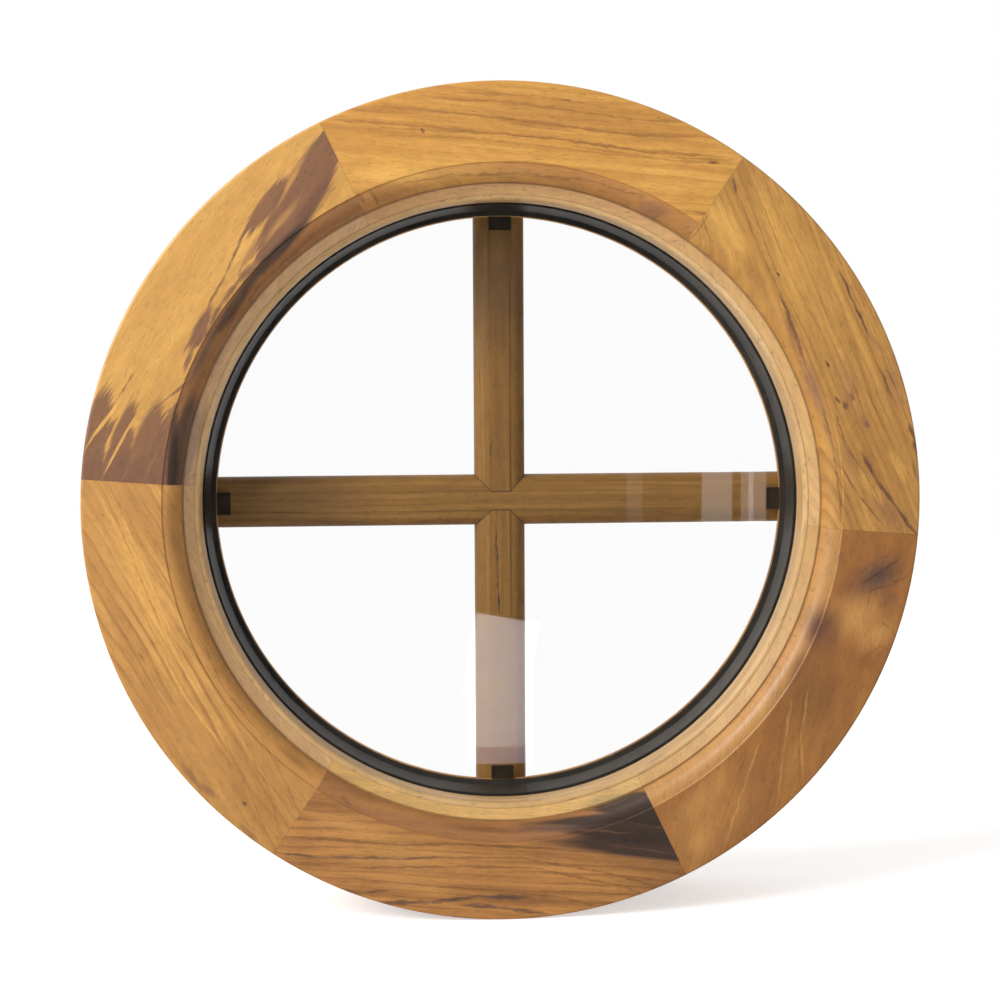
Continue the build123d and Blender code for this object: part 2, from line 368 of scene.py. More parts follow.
@dataclass(frozen=True)
class OiledTeak:
    """Teak, sawn to shape, planed and oiled.

    Oil leaves a low satin gloss, so the face keeps its colour and steep walls catch a pale
    sheen. Growth rings are 5 to 22 mm apart on the faces that show. The pores are 0.3 mm wide
    in real wood and are drawn 0.8 mm wide, so that they show. Glue lines and scribed joints are
    0.2 mm wide in real joinery, and are drawn wider for the same reason.
    """

    name: str
    figure: Figure
    run: Run = Run.STRAIGHT

    # Its gloss and its relief, in which the hard fibre stands proud and is smoother
    ior: float = 1.5
    roughness: float = 0.46
    rougher: float = 0.08
    smoother: float = 0.06
    coat: float = 0.12
    coat_roughness: float = 0.3
    relief: float = 0.22
    relief_mm: float = 0.35

    # Its growth: tones that follow the rings and drift, in grain that sways. A ring darkens over
    # its stretch of late wood, and late wood fades in as the drift grows. The lines get their
    # width from the figure's spacing
    lines: Noise = Noise(240, 7.0, 2.0, 11.0)
    drift: Noise = Noise(110, 34, 2.0, 23.0)
    sway: Noise = Noise(210, 45, 3.0, 83.0)
    wave: Noise = Noise(170, 60, 3.0, 3.0)
    drift_share: float = 0.55
    tone_reach: float = 0.16
    sway_rings: float = 3.0
    late_wood: tuple[float, float] = (0.5, 0.95)
    late_fade: tuple[float, float] = (0.35, 0.6)

    # Its marks: tufts feather the patches on the face, and fraying breaks up the streaks
    tufts: Noise = Noise(60, 2.2, 3.0, 37.0)
    fray: Noise = Noise(9, 2.0, 3.0, 37.0)
    tuft_mm: float = 2.0
    fray_mm: tuple[float, float] = (3.0, 4.5)

    # Its fibre, mottle and open pores, with the darkest and lightest shade of the first two
    fibre: Noise = Noise(10, 1.3, 2.0, 51.0)
    mottle: Noise = Noise(22, 9, 3.0, 71.0)
    pores: Noise = Noise(7.0, 0.8, 1.0, 67.0)
    shade: tuple[float, float] = (0.88, 1.11)
    pore_shade: float = 0.26

    # The radius at which a bent piece's grain is measured, and the angle of its seam in degrees
    bend_radius_mm: float = 224.0
    bend_seam: float = 86.4

    # The depth where the rounded edge ends, and the zones of the profile, all within a radius
    quirk_mm: float = 13.4
    zone_radius_mm: float = 247.9
    moulding: Zone = Zone(0.5, 14.4, 0.8)
    # Painted shade: a darker band in the groove at the foot of the rounded edge
    quirk_shade: Zone = Zone(13.2, 14.8, 0.5)
    recess: Zone | None = None

    # The angles of a segment's ends in degrees, and the glue lines there
    joints: tuple[float, ...] = ()
    joint_mm: float = 0.55
    joint_share: float = 0.3

    # Half the width of a bar's flat, on which its coped joint is square, and the line there
    flat_mm: float = 0.0
    scribe_mm: float = 1.1
    scribe_share: float = 0.8

    def material(self, view: Viewpoint) -> Material:
        """Builds the board's material.

        Args:
            view: turns the marks' pixels into places on the wood.

        Returns:
            The finished material.
        """
        material, tree, place = new_material(self.name)
        point = add_node(
            tree, "VectorMath", {"operation": "MULTIPLY_ADD"},
            {1: (1 / MM,) * 3, 2: (0, -FACE_Y / MM, 0)}, {0: place},
        ).outputs[0]
        grain = self._grain(tree, point)
        figure = self.figure
        colour = self._growth(tree, grain)
        if figure.moulding:
            colour = self._inside(tree, point, colour, self.moulding, figure.moulding)
        on_face = tuple(mark for mark in figure.marks if mark.depth <= self.quirk_mm)
        behind = tuple(mark for mark in figure.marks if mark.depth > self.quirk_mm)
        colour = self._stains(tree, grain, colour, view, on_face)
        # Partly painted sheen: the paler recess colour over the walls behind the rounded edge
        if self.recess:
            colour = self._inside(tree, point, colour, self.recess, figure.recess)
            # Painted shade in the groove at the foot of the rounded edge
            colour = self._inside(tree, point, colour, self.quirk_shade, Stain.UMBER.value)
        colour = self._stains(tree, grain, colour, view, behind)
        height, colour = self._fibre(tree, grain, colour)
        colour = self._joint_lines(tree, point, colour)
        if self.flat_mm:
            colour = self._scribe_line(tree, point, colour)
        bump = add_node(
            tree, "Bump", values={"Strength": self.relief, "Distance": self.relief_mm * MM},
            links={"Height": height},
        )
        rough = add_node(
            tree, "MapRange",
            values={"To Min": self.roughness + self.rougher, "To Max": self.roughness - self.smoother},
            links={"Value": height},
        )
        shader = add_node(
            tree, "BsdfPrincipled",
            values={"IOR": self.ior, "Coat Weight": self.coat, "Coat Roughness": self.coat_roughness},
            links={"Base Color": colour, "Roughness": rough, "Normal": bump},
        )
        add_node(tree, "OutputMaterial", links={"Surface": shader})
        return material

    def _slope(self) -> float:
        """Returns the grain's slope in radians."""
        return math.radians(self.figure.slope)

    def _grain(self, tree: Tree, point: Socket) -> Socket:
        """Turns a point of the window into mm along, and mm across, the grain.

        Args:
            tree: the material's nodes.
            point: the point in mm, with its depth behind the face as y.

        Returns:
            The point with the grain's run as x and the growth layers stacked along z.
        """
        apart = add_node(tree, "SeparateXYZ", links={0: point})
        if self.run is Run.BENT:
            turned = add_node(
                tree, "Mapping", {"vector_type": "TEXTURE"},
                {"Rotation": (0, -math.radians(self.bend_seam + 180), 0)}, {"Vector": point},
            )
            flat = add_node(tree, "SeparateXYZ", links={0: turned})
            angle = add_node(
                tree, "Math", {"operation": "ARCTAN2"}, links={0: flat.outputs[2], 1: flat.outputs[0]},
            )
            along = add_node(tree, "Math", {"operation": "MULTIPLY"}, {1: self.bend_radius_mm}, {0: angle})
            return add_node(tree, "CombineXYZ", links={0: along, 2: apart.outputs[1]}).outputs[0]
        slope = self._slope()
        lean = (-math.sin(slope) * self.figure.lean, -1, math.cos(slope) * self.figure.lean)
        sheared = add_node(
            tree, "VectorMath", {"operation": "MULTIPLY_ADD"}, {1: lean}, {0: apart.outputs[1], 2: point},
        )
        laid = add_node(
            tree, "Mapping", {"vector_type": "TEXTURE"}, {"Rotation": (0, -slope, 0)}, {"Vector": sheared},
        ).outputs[0]
        return self._shifted(tree, laid, self.wave, (0, self.figure.wander / (2 * NOISE_REACH)))

    def _noise(self, tree: Tree, grain: Socket, noise: Noise) -> Socket:
        """Lays noise on the board.

        Args:
            tree: the material's nodes.
            grain: the point in the grain's own mm.
            noise: the size and the detail of its blotches.

        Returns:
            The noise, about 0.5.
        """
        seed = self.figure.seed
        scaled = add_node(
            tree, "Mapping", {"vector_type": "POINT"},
            {
                "Scale": (1 / noise.length, 1, 1 / noise.width),
                "Location": (seed, noise.shift, seed * SEED_ACROSS),
            },
            {"Vector": grain},
        )
        return add_node(
            tree, "TexNoise", values={"Scale": 1.0, "Detail": noise.detail, "Roughness": 0.55},
            links={"Vector": scaled},
        ).outputs[0]

    def _shifted(self, tree: Tree, grain: Socket, noise: Noise, shift: tuple[float, float]) -> Socket:
        """Shifts the grain's mm by noise, so that what lies on them wanders or has uneven edges.

        Args:
            tree: the material's nodes.
            grain: the point in the grain's own mm.
            noise: what shifts it.
            shift: how far it shifts along and across the grain for a change of 1, in mm.

        Returns:
            The shifted point.
        """
        along, across = shift
        centred = add_node(
            tree, "Math", {"operation": "SUBTRACT"}, {1: 0.5}, {0: self._noise(tree, grain, noise)},
        )
        return add_node(
            tree, "VectorMath", {"operation": "MULTIPLY_ADD"}, {1: (along, 0, across)},
            {0: centred, 2: grain},
        ).outputs[0]

    def _growth(self, tree: Tree, grain: Socket) -> Socket:
        """Colours the board by its growth rings, with a slow drift between pale and deep.

        Each ring darkens towards its late wood, where it ends sharply.

        Args:
            tree: the material's nodes.
            grain: the point in the grain's own mm.

        Returns:
            The colour.
        """
        figure = self.figure
        lines = self._noise(tree, grain, replace(self.lines, width=figure.spacing))
        drift = self._noise(tree, grain, self.drift)
        mixed = add_node(
            tree, "Math", {"operation": "MULTIPLY_ADD"}, {1: self.drift_share}, {0: drift, 2: lines},
        )
        ramp = add_node(tree, "ValToRGB", links={0: mixed})
        middle, spread = (1 + self.drift_share) / 2, self.tone_reach / figure.contrast
        stops = ramp.color_ramp.elements
        stops[0].position, stops[0].color = middle - spread, linear(figure.line)
        stops[1].position, stops[1].color = middle + spread, linear(figure.pale)
        stops.new(middle).color = linear(figure.ground)
        sway = self._noise(tree, grain, self.sway)
        across = add_node(tree, "SeparateXYZ", links={0: grain}).outputs[2]
        count = add_node(tree, "Math", {"operation": "MULTIPLY"}, {1: 1 / figure.spacing}, {0: across})
        swayed = add_node(
            tree, "Math", {"operation": "MULTIPLY_ADD"}, {1: self.sway_rings}, {0: sway, 2: count},
        )
        year = add_node(tree, "Math", {"operation": "FRACT"}, links={0: swayed})
        start, end = self.late_wood
        late = add_node(
            tree, "MapRange", {"interpolation_type": "SMOOTHSTEP"}, {"From Min": start, "From Max": end},
            {"Value": year},
        )
        start, end = self.late_fade
        faded = add_node(
            tree, "MapRange", values={"From Min": start, "From Max": end, "To Max": figure.thin},
            links={"Value": drift},
        )
        dark = add_node(tree, "Math", {"operation": "MULTIPLY"}, links={0: late, 1: faded})
        return add_node(
            tree, "Mix", {"data_type": "RGBA"}, {7: linear(figure.line)}, {0: dark, 6: ramp},
        ).outputs[2]

    def _stains(
        self, tree: Tree, grain: Socket, colour: Socket, view: Viewpoint, marks: tuple[Mark, ...]
    ) -> Socket:
        """Lays the given marks on the board.

        Patches on the face feather along the grain, and streaks are frayed. Marks on the rounded
        edge, which cuts across the grain, keep their outlines.

        Args:
            tree: the material's nodes.
            grain: the point in the grain's own mm.
            colour: the board's colour so far.
            view: turns the marks' pixels into places on the wood.
            marks: what to lay, first to last.

        Returns:
            The colour with its marks.
        """
        if not marks:
            return colour
        reach = (self.figure.feather / NOISE_REACH, self.tuft_mm)
        feathered = self._shifted(tree, grain, self.tufts, reach)
        frayed = self._shifted(tree, grain, self.fray, self.fray_mm)
        for mark in marks:
            if not mark.ragged:
                laid = frayed
            elif mark.depth:
                laid = grain
            else:
                laid = feathered
            middle, turn, half = self._laid(mark, view)
            local = add_node(
                tree, "Mapping", {"vector_type": "TEXTURE"},
                {"Location": middle, "Rotation": (0, -turn, 0), "Scale": (half, THROUGH_MM, mark.width / 2)},
                {"Vector": laid},
            )
            away = add_node(tree, "VectorMath", {"operation": "LENGTH"}, links={0: local})
            cover = add_node(
                tree, "MapRange", {"interpolation_type": "SMOOTHSTEP"},
                {
                    "From Min": 1.0 - mark.edge, "From Max": MARK_END,
                    "To Min": mark.strength, "To Max": 0.0,
                },
                {"Value": away.outputs["Value"]},
            )
            colour = add_node(
                tree, "Mix", {"data_type": "RGBA"}, {7: linear(mark.stain.value)}, {0: cover, 6: colour},
            ).outputs[2]
        return colour

    def _laid(self, mark: Mark, view: Viewpoint) -> tuple[tuple[float, float, float], float, float]:
        """Puts a mark's long axis into the grain's own mm.

        Args:
            mark: the mark, in pixels of the photograph.
            view: finds those pixels on the wood.

        Returns:
            The middle of the mark, its turn in radians and half its length.
        """
        slope = self._slope()
        lean = self.figure.lean * mark.depth
        ends = []
        for pixel in ((mark.x1, mark.y1), (mark.x2, mark.y2)):
            spot = view.on_window(*pixel, depth=mark.depth) / MM
            if self.run is Run.BENT:
                turn = math.atan2(spot.z, spot.x) - math.radians(self.bend_seam + 180)
                ends.append(Vector((self.bend_radius_mm * math.remainder(turn, math.tau), mark.depth)))
                continue
            along = spot.x * math.cos(slope) + spot.z * math.sin(slope)
            across = spot.z * math.cos(slope) - spot.x * math.sin(slope) + lean
            ends.append(Vector((along, across)))
        middle, span = (ends[0] + ends[1]) / 2, ends[1] - ends[0]
        return (middle.x, 0.0, middle.y), math.atan2(span.y, span.x), max(span.length / 2, mark.width / 2)

    def _fibre(self, tree: Tree, grain: Socket, colour: Socket) -> tuple[Socket, Socket]:
        """Adds the fine fibre and the open pores.

        Args:
            tree: the material's nodes.
            grain: the point in the grain's own mm.
            colour: the board's colour so far.

        Returns:
            The height of the surface, 0 to 1, and the colour with fibre and pores.
        """
        fibre = self._noise(tree, grain, self.fibre)
        mottle = self._noise(tree, grain, self.mottle)
        pores = self._noise(tree, grain, self.pores)
        both = add_node(tree, "Math", {"operation": "ADD"}, links={0: fibre, 1: mottle})
        dark, light = self.shade
        shade = add_node(
            tree, "MapRange",
            values={"From Min": 0.7, "From Max": 1.3, "To Min": dark, "To Max": light},
            links={"Value": both},
        )
        open_pore = add_node(
            tree, "MapRange", {"interpolation_type": "SMOOTHSTEP"},
            {"From Min": 0.60, "From Max": 0.70, "To Min": 0.0, "To Max": self.pore_shade},
            {"Value": pores},
        )
        tone = add_node(tree, "Math", {"operation": "SUBTRACT"}, links={0: shade, 1: open_pore})
        toned = add_node(tree, "VectorMath", {"operation": "SCALE"}, links={0: colour, "Scale": tone})
        height = add_node(
            tree, "Math", {"operation": "SUBTRACT", "use_clamp": True}, links={0: fibre, 1: open_pore},
        )
        return height.outputs[0], toned.outputs[0]

    def _inside(self, tree: Tree, point: Socket, colour: Socket, zone: Zone, tone: str) -> Socket:
        """Gives a stretch of the ring's inner profile a colour of its own.

        Args:
            tree: the material's nodes.
            point: the point in mm, with its depth behind the face as y.
            colour: the board's colour so far.
            zone: the stretch.
            tone: its colour, as an sRGB hex value.

        Returns:
            The colour with that stretch.
        """
        depth = add_node(tree, "SeparateXYZ", links={0: point}).outputs[1]
        flat = add_node(tree, "VectorMath", {"operation": "MULTIPLY"}, {1: (1, 0, 1)}, {0: point})
        radius = add_node(tree, "VectorMath", {"operation": "LENGTH"}, links={0: flat})
        within = add_node(
            tree, "Math", {"operation": "LESS_THAN"}, {1: self.zone_radius_mm}, {0: radius.outputs["Value"]},
        )
        middle, half = (zone.start + zone.end) / 2, (zone.end - zone.start) / 2
        deep = add_node(tree, "Math", {"operation": "COMPARE"}, {1: middle, 2: half}, {0: depth})
        both = add_node(tree, "Math", {"operation": "MULTIPLY"}, links={0: within, 1: deep})
        cover = add_node(tree, "Math", {"operation": "MULTIPLY"}, {1: zone.share}, {0: both})
        return add_node(
            tree, "Mix", {"data_type": "RGBA"}, {7: linear(tone)}, {0: cover, 6: colour},
        ).outputs[2]

    def _line(self, tree: Tree, away: Socket, colour: Socket, reach: float, share: float) -> Socket:
        """Draws a thin dark line that fades to both sides.

        Args:
            tree: the material's nodes.
            away: how far the point is from the line, in mm, below zero on one side.
            colour: the piece's colour so far.
            reach: how far from its middle the line ends, in mm.
            share: how much it covers in its middle, 0 to 1.

        Returns:
            The colour with the line.
        """
        near = add_node(tree, "Math", {"operation": "ABSOLUTE"}, links={0: away})
        cover = add_node(
            tree, "MapRange", {"interpolation_type": "SMOOTHSTEP"},
            {"From Min": 0.0, "From Max": reach, "To Min": share, "To Max": 0.0}, {"Value": near},
        )
        return add_node(
            tree, "Mix", {"data_type": "RGBA"}, {7: linear(Stain.NIGHT.value)}, {0: cover, 6: colour},
        ).outputs[2]

    def _joint_lines(self, tree: Tree, point: Socket, colour: Socket) -> Socket:
        """Draws the glue line at each end of a ring segment.

        Args:
            tree: the material's nodes.
            point: the point in mm.
            colour: the board's colour so far.

        Returns:
            The colour with its glue lines.
        """
        for angle in self.joints:
            across = (math.sin(math.radians(angle)), 0.0, -math.cos(math.radians(angle)))
            away = add_node(tree, "VectorMath", {"operation": "DOT_PRODUCT"}, {1: across}, {0: point})
            colour = self._line(tree, away.outputs["Value"], colour, self.joint_mm, self.joint_share)
        return colour

    def _scribe_line(self, tree: Tree, point: Socket, colour: Socket) -> Socket:
        """Draws the hairline where an upright bar is coped onto the level one.

        The joint is square across the bars' flats and mitred across their mouldings.

        Args:
            tree: the material's nodes.
            point: the point in mm.
            colour: the bar's colour so far.

        Returns:
            The colour with the line.
        """
        sides = add_node(tree, "VectorMath", {"operation": "ABSOLUTE"}, links={0: point})
        apart = add_node(tree, "SeparateXYZ", links={0: sides})
        reach = add_node(tree, "Math", {"operation": "MAXIMUM"}, {1: self.flat_mm}, {0: apart})
        away = add_node(
            tree, "Math", {"operation": "SUBTRACT"}, links={0: apart.outputs[2], 1: reach},
        ).outputs[0]
        return self._line(tree, away, colour, self.scribe_mm, self.scribe_share)


@dataclass(frozen=True)
class FloatGlass:
    """Float glass, cast on molten tin.

    It is flat, so it mirrors cleanly at a glance, with a faint wave of 90 mm from toughening.
    Its coating against reflections lowers the IOR that the eye sees from 1.5, and light for the
    shading behind it passes straight through.
    """

    name: str = "coated_float_glass"
    ior: float = 1.2
    wave_mm: float = 90.0
    wave_height_mm: float = 0.05
    wave_strength: float = 0.5

    def material(self) -> Material:
        """Returns the glass, built."""
        material, tree, place = new_material(self.name)
        wave = add_node(
            tree, "TexNoise", values={"Scale": 1 / (self.wave_mm * MM), "Detail": 0.0},
            links={"Vector": place},
        )
        bump = add_node(
            tree, "Bump", values={"Strength": self.wave_strength, "Distance": self.wave_height_mm * MM},
            links={"Height": wave},
        )
        glass = add_node(
            tree, "BsdfPrincipled",
            values={
                "Base Color": linear("#FFFFFF"),
                "Roughness": 0.0,
                "IOR": self.ior,
                "Transmission Weight": 1.0,
            },
            links={"Normal": bump},
        )
        clear = add_node(tree, "BsdfTransparent")
        path = add_node(tree, "LightPath")
        passed = add_node(
            tree, "Math", {"operation": "MAXIMUM"},
            links={0: path.outputs["Is Shadow Ray"], 1: path.outputs["Is Diffuse Ray"]},
        )
        mixed = add_node(tree, "MixShader", links={0: passed, 1: glass, 2: clear})
        add_node(tree, "OutputMaterial", links={"Surface": mixed})
        return material


@dataclass(frozen=True)
class SoftBlack:
    """A black seal or spacer: tape, sealant, rubber or a coated bar.

    Its surface is uneven on the scale of its own grain, which breaks up the reflection of the
    studio. It is worn in patches, and specks of dust and wood lie on it.
    """

    name: str
    colour: str
    worn: str
    roughness: float
    grain_mm: float
    ripple: float = 0.2
    ripple_mm: float = 0.3
    dust: float = 0.0
    dust_colour: str = "#A08A70"
    patch_mm: float = 28.0
    speck_mm: float = 7.0
    specular: float = 0.5

    def material(self) -> Material:
        """Returns the finish, built."""
        material, tree, place = new_material(self.name)
        grain = add_node(
            tree, "TexNoise", values={"Scale": 1 / (self.grain_mm * MM), "Detail": 3.0},
            links={"Vector": place},
        )
        patches = add_node(
            tree, "TexNoise", values={"Scale": 1 / (self.patch_mm * MM), "Detail": 2.0},
            links={"Vector": place},
        )
        tone = add_node(
            tree, "MapRange", values={"From Min": 0.35, "From Max": 0.7}, links={"Value": patches},
        )
        colour = add_node(
            tree, "Mix", {"data_type": "RGBA"}, {6: linear(self.colour), 7: linear(self.worn)}, {0: tone},
        ).outputs[2]
        specks = add_node(
            tree, "TexVoronoi", values={"Scale": 1 / (self.speck_mm * MM)}, links={"Vector": place},
        )
        spot = add_node(
            tree, "MapRange", {"interpolation_type": "SMOOTHSTEP"},
            {"From Min": 0.04, "From Max": 0.10, "To Min": self.dust, "To Max": 0.0},
            {"Value": specks.outputs["Distance"]},
        )
        dusted = add_node(
            tree, "Mix", {"data_type": "RGBA"}, {7: linear(self.dust_colour)}, {0: spot, 6: colour},
        ).outputs[2]
        bump = add_node(
            tree, "Bump", values={"Strength": self.ripple, "Distance": self.ripple_mm * MM},
            links={"Height": grain},
        )
        shader = add_node(
            tree, "BsdfPrincipled",
            values={"Roughness": self.roughness, "Specular IOR Level": self.specular},
            links={"Base Color": dusted, "Normal": bump},
        )
        add_node(tree, "OutputMaterial", links={"Surface": shader})
        return material


@dataclass(frozen=True)
class TurnedBrass:
    """Brass screws, turned and left bare.

    Turning leaves rings 0.2 mm apart, drawn 0.5 mm apart so that they show, and the metal has
    dulled to a warm yellow with browner patches.
    """

    name: str = "turned_brass"
    bright: str = "#C9A24E"
    dull: str = "#8C6A33"
    roughness: float = 0.32
    tarnish_mm: float = 3.0
    ring_mm: float = 0.5
    ring_depth: float = 0.15
    ring_depth_mm: float = 0.1

    def material(self) -> Material:
        """Returns the brass, built."""
        material, tree, place = new_material(self.name)
        tarnish = add_node(
            tree, "TexNoise", values={"Scale": 1 / (self.tarnish_mm * MM), "Detail": 4.0},
            links={"Vector": place},
        )
        rings = add_node(
            tree, "TexNoise", values={"Scale": 1 / (self.ring_mm * MM), "Detail": 2.0},
            links={"Vector": place},
        )
        colour = add_node(
            tree, "Mix", {"data_type": "RGBA"}, {6: linear(self.bright), 7: linear(self.dull)},
            {0: tarnish},
        ).outputs[2]
        bump = add_node(
            tree, "Bump", values={"Strength": self.ring_depth, "Distance": self.ring_depth_mm * MM},
            links={"Height": rings},
        )
        shader = add_node(
            tree, "BsdfPrincipled", values={"Metallic": 1.0, "Roughness": self.roughness},
            links={"Base Color": colour, "Normal": bump},
        )
        add_node(tree, "OutputMaterial", links={"Surface": shader})
        return material


TOP = Figure(
    ground="#CF9545", pale="#DCA450", line="#A66C30", slope=-5, spacing=6.0, contrast=0.3, wander=1.2,
    lean=0.3, thin=0.3, moulding="#AE7641", recess="#D2AB84", seed=1.3,
    marks=(
        # Broad changes of tone
        Mark(380, 92, 760, 128, 30, Stain.BROWN, 0.35, edge=0.9),
        Mark(350, 112, 640, 132, 34, Stain.BROWN, 0.22, edge=0.95),
        Mark(320, 165, 600, 190, 40, Stain.GOLD, 0.45, edge=0.9),
        Mark(600, 180, 730, 190, 24, Stain.GOLD, 0.3, edge=0.9),
        Mark(328, 172, 440, 176, 18, Stain.GOLD, 0.7, edge=0.9),
        # Dark lines of late wood
        *streak(Stain.BROWN, 3.4, 0.65, (371, 105), (470, 114), (524, 121), (625, 134), (706, 137)),
        *streak(Stain.BROWN, 2.8, 0.65, (424, 97), (507, 102), (572, 111), (636, 120), (690, 122)),
        *streak(Stain.BROWN, 3.4, 0.75, (328, 119), (411, 125), (502, 134), (550, 138)),
        *streak(Stain.BROWN, 3.4, 0.75, (550, 138), (636, 150), (724, 157)),
        *streak(Stain.UMBER, 1.8, 0.4, (371, 127), (502, 134), (560, 140), (690, 158), (728, 160)),
        *streak(Stain.UMBER, 1.6, 0.35, (430, 111), (524, 121), (600, 132), (668, 138)),
        *streak(Stain.BROWN, 2.4, 0.6, (572, 146), (668, 160), (722, 163)),
        *streak(Stain.BROWN, 2.0, 0.5, (388, 135), (470, 138), (541, 146), (640, 158)),
        *streak(Stain.BROWN, 2.0, 0.5, (455, 92), (536, 96), (610, 108)),
        Mark(486, 117, 590, 132, 7.0, Stain.BROWN, 0.5),
        Mark(590, 128, 700, 142, 6.0, Stain.BROWN, 0.4),
        Mark(330, 106, 430, 113, 6.0, Stain.BROWN, 0.45),
        # Pin knots and a short dark line
        Mark(420, 128, 425, 133, 2.6, Stain.UMBER, 0.8, ragged=False),
        Mark(706, 161, 721, 163, 3.4, Stain.UMBER, 0.9, edge=0.8, ragged=False),
        Mark(560, 99, 572, 101, 2.0, Stain.UMBER, 0.6, ragged=False),
        Mark(678, 210, 709, 215, 1.6, Stain.UMBER, 0.5),
        # On the rounded edge
        Mark(636, 205, 672, 216, 9.0, Stain.ROSE, 0.6, 6.0),
        Mark(355, 196, 366, 206, 5.0, Stain.UMBER, 0.6, 6.0),
        Mark(368, 192, 380, 206, 3.0, Stain.UMBER, 0.6, 6.0),
        *streak(Stain.UMBER, 1.8, 0.45, (400, 186), (450, 176), (520, 173), depth=4.0),
        *streak(Stain.UMBER, 1.8, 0.45, (520, 173), (590, 182), (640, 197), depth=4.0),
        Mark(330, 204, 420, 186, 12, Stain.BROWN, 0.35, 8.0, 0.9),
    ),
)

UPPER_RIGHT = Figure(
    ground="#BD8943", pale="#CD984D", line="#946230", slope=-67, spacing=5.5, contrast=0.4, wander=3.0,
    lean=0.3, thin=0.5, recess="#DDB780", seed=4.1,
    marks=(
        # Broad changes of tone
        Mark(730, 160, 862, 360, 84, Stain.GOLD, 0.35, edge=0.98),
        Mark(872, 360, 900, 540, 60, Stain.BROWN, 0.32, edge=0.98),
        Mark(704, 196, 750, 268, 24, Stain.GOLD, 0.65),
        Mark(756, 176, 806, 322, 9.0, Stain.GOLD, 0.4),
        # Dark lines of late wood
        *streak(Stain.PLUM, 2.6, 0.7, (731, 178), (737, 195)),
        *streak(Stain.UMBER, 2.4, 0.5, (737, 195), (758, 246), (781, 294)),
        *streak(Stain.PLUM, 3.4, 0.8, (781, 294), (794, 328), (806, 362)),
        *streak(Stain.PLUM, 2.4, 0.6, (806, 362), (822, 400), (834, 445)),
        *streak(Stain.UMBER, 2.2, 0.55, (834, 445), (843, 520)),
        *streak(Stain.BROWN, 2.0, 0.65, (740, 179), (785, 291), (822, 366)),
        *streak(Stain.BROWN, 1.8, 0.55, (756, 190), (794, 280), (830, 348)),
        *streak(Stain.BROWN, 1.8, 0.5, (775, 195), (812, 276), (838, 340)),
        *streak(Stain.BROWN, 2.6, 0.4, (800, 200), (838, 294), (872, 400)),
        # Where the lines swell, with redder wood beside them
        Mark(784, 306, 800, 344, 6.5, Stain.PLUM, 0.7, edge=0.8),
        Mark(800, 350, 826, 412, 8.0, Stain.ROSE, 0.6, edge=0.9),
        *streak(Stain.PLUM, 3.0, 0.9, (840, 269), (854, 302), (869, 337)),
        Mark(846, 262, 872, 322, 5.0, Stain.BROWN, 0.5, edge=0.9),
        Mark(866, 330, 884, 356, 10, Stain.ROSE, 0.4, edge=0.9),
        # Pin knots
        Mark(824, 359, 831, 369, 3.4, Stain.PLUM, 0.95, edge=0.8, ragged=False),
        Mark(842, 401, 848, 410, 5.6, Stain.PLUM, 0.9, edge=0.8, ragged=False),
        Mark(835, 396, 840, 404, 2.6, Stain.PLUM, 0.8, ragged=False),
        Mark(850, 392, 854, 402, 3.0, Stain.PLUM, 0.75, ragged=False),
        Mark(777, 272, 780, 276, 2.4, Stain.PLUM, 0.8, ragged=False),
        Mark(865, 420, 869, 428, 2.8, Stain.PLUM, 0.7, ragged=False),
        # The redder and more marked lower end
        *streak(Stain.PLUM, 2.6, 0.8, (879, 368), (892, 398)),
        *streak(Stain.PLUM, 1.8, 0.6, (884, 366), (897, 392)),
        Mark(856, 398, 872, 440, 14, Stain.ROSE, 0.45, edge=0.95),
        Mark(836, 430, 862, 492, 18, Stain.ROSE, 0.4, edge=0.95),
        Mark(884, 340, 908, 428, 18, Stain.ROSE, 0.4, edge=0.95),
        Mark(830, 350, 864, 404, 22, Stain.ROSE, 0.4, edge=0.95),
        Mark(862, 478, 912, 540, 26, Stain.ROSE, 0.4, edge=0.95),
        *streak(Stain.PLUM, 3.4, 0.85, (908, 424), (913, 438), (917, 456)),
        *streak(Stain.PLUM, 2.2, 0.6, (912, 462), (916, 478)),
        Mark(858, 474, 886, 504, 10, Stain.GOLD, 0.4),
        Mark(888, 446, 906, 482, 9.0, Stain.GOLD, 0.4),
        *streak(Stain.PLUM, 3.8, 0.85, (862, 453), (876, 480), (897, 508), (917, 535)),
        *streak(Stain.PLUM, 2.4, 0.6, (838, 462), (858, 494), (882, 524)),
        *streak(Stain.UMBER, 2.0, 0.6, (846, 446), (862, 470), (880, 500)),
        Mark(840, 392, 858, 414, 13, Stain.ROSE, 0.6, edge=0.98),
        Mark(856, 410, 868, 424, 8.0, Stain.ROSE, 0.55, edge=0.98),
        *streak(Stain.UMBER, 1.8, 0.6, (852, 378), (862, 408)),
        *streak(Stain.UMBER, 1.8, 0.55, (866, 390), (880, 418)),
        *streak(Stain.PLUM, 2.0, 0.6, (836, 414), (846, 446)),
        # On the rounded edge
        Mark(802, 352, 824, 424, 12, Stain.ROSE, 0.55, 5.0, 0.95),
        Mark(706, 213, 688, 243, 1.4, Stain.UMBER, 0.6, 5.0),
        Mark(716, 236, 770, 300, 12, Stain.BROWN, 0.4, 6.0, 0.9),
        Mark(770, 300, 812, 380, 9.0, Stain.BROWN, 0.35, 6.0, 0.9),
    ),
)

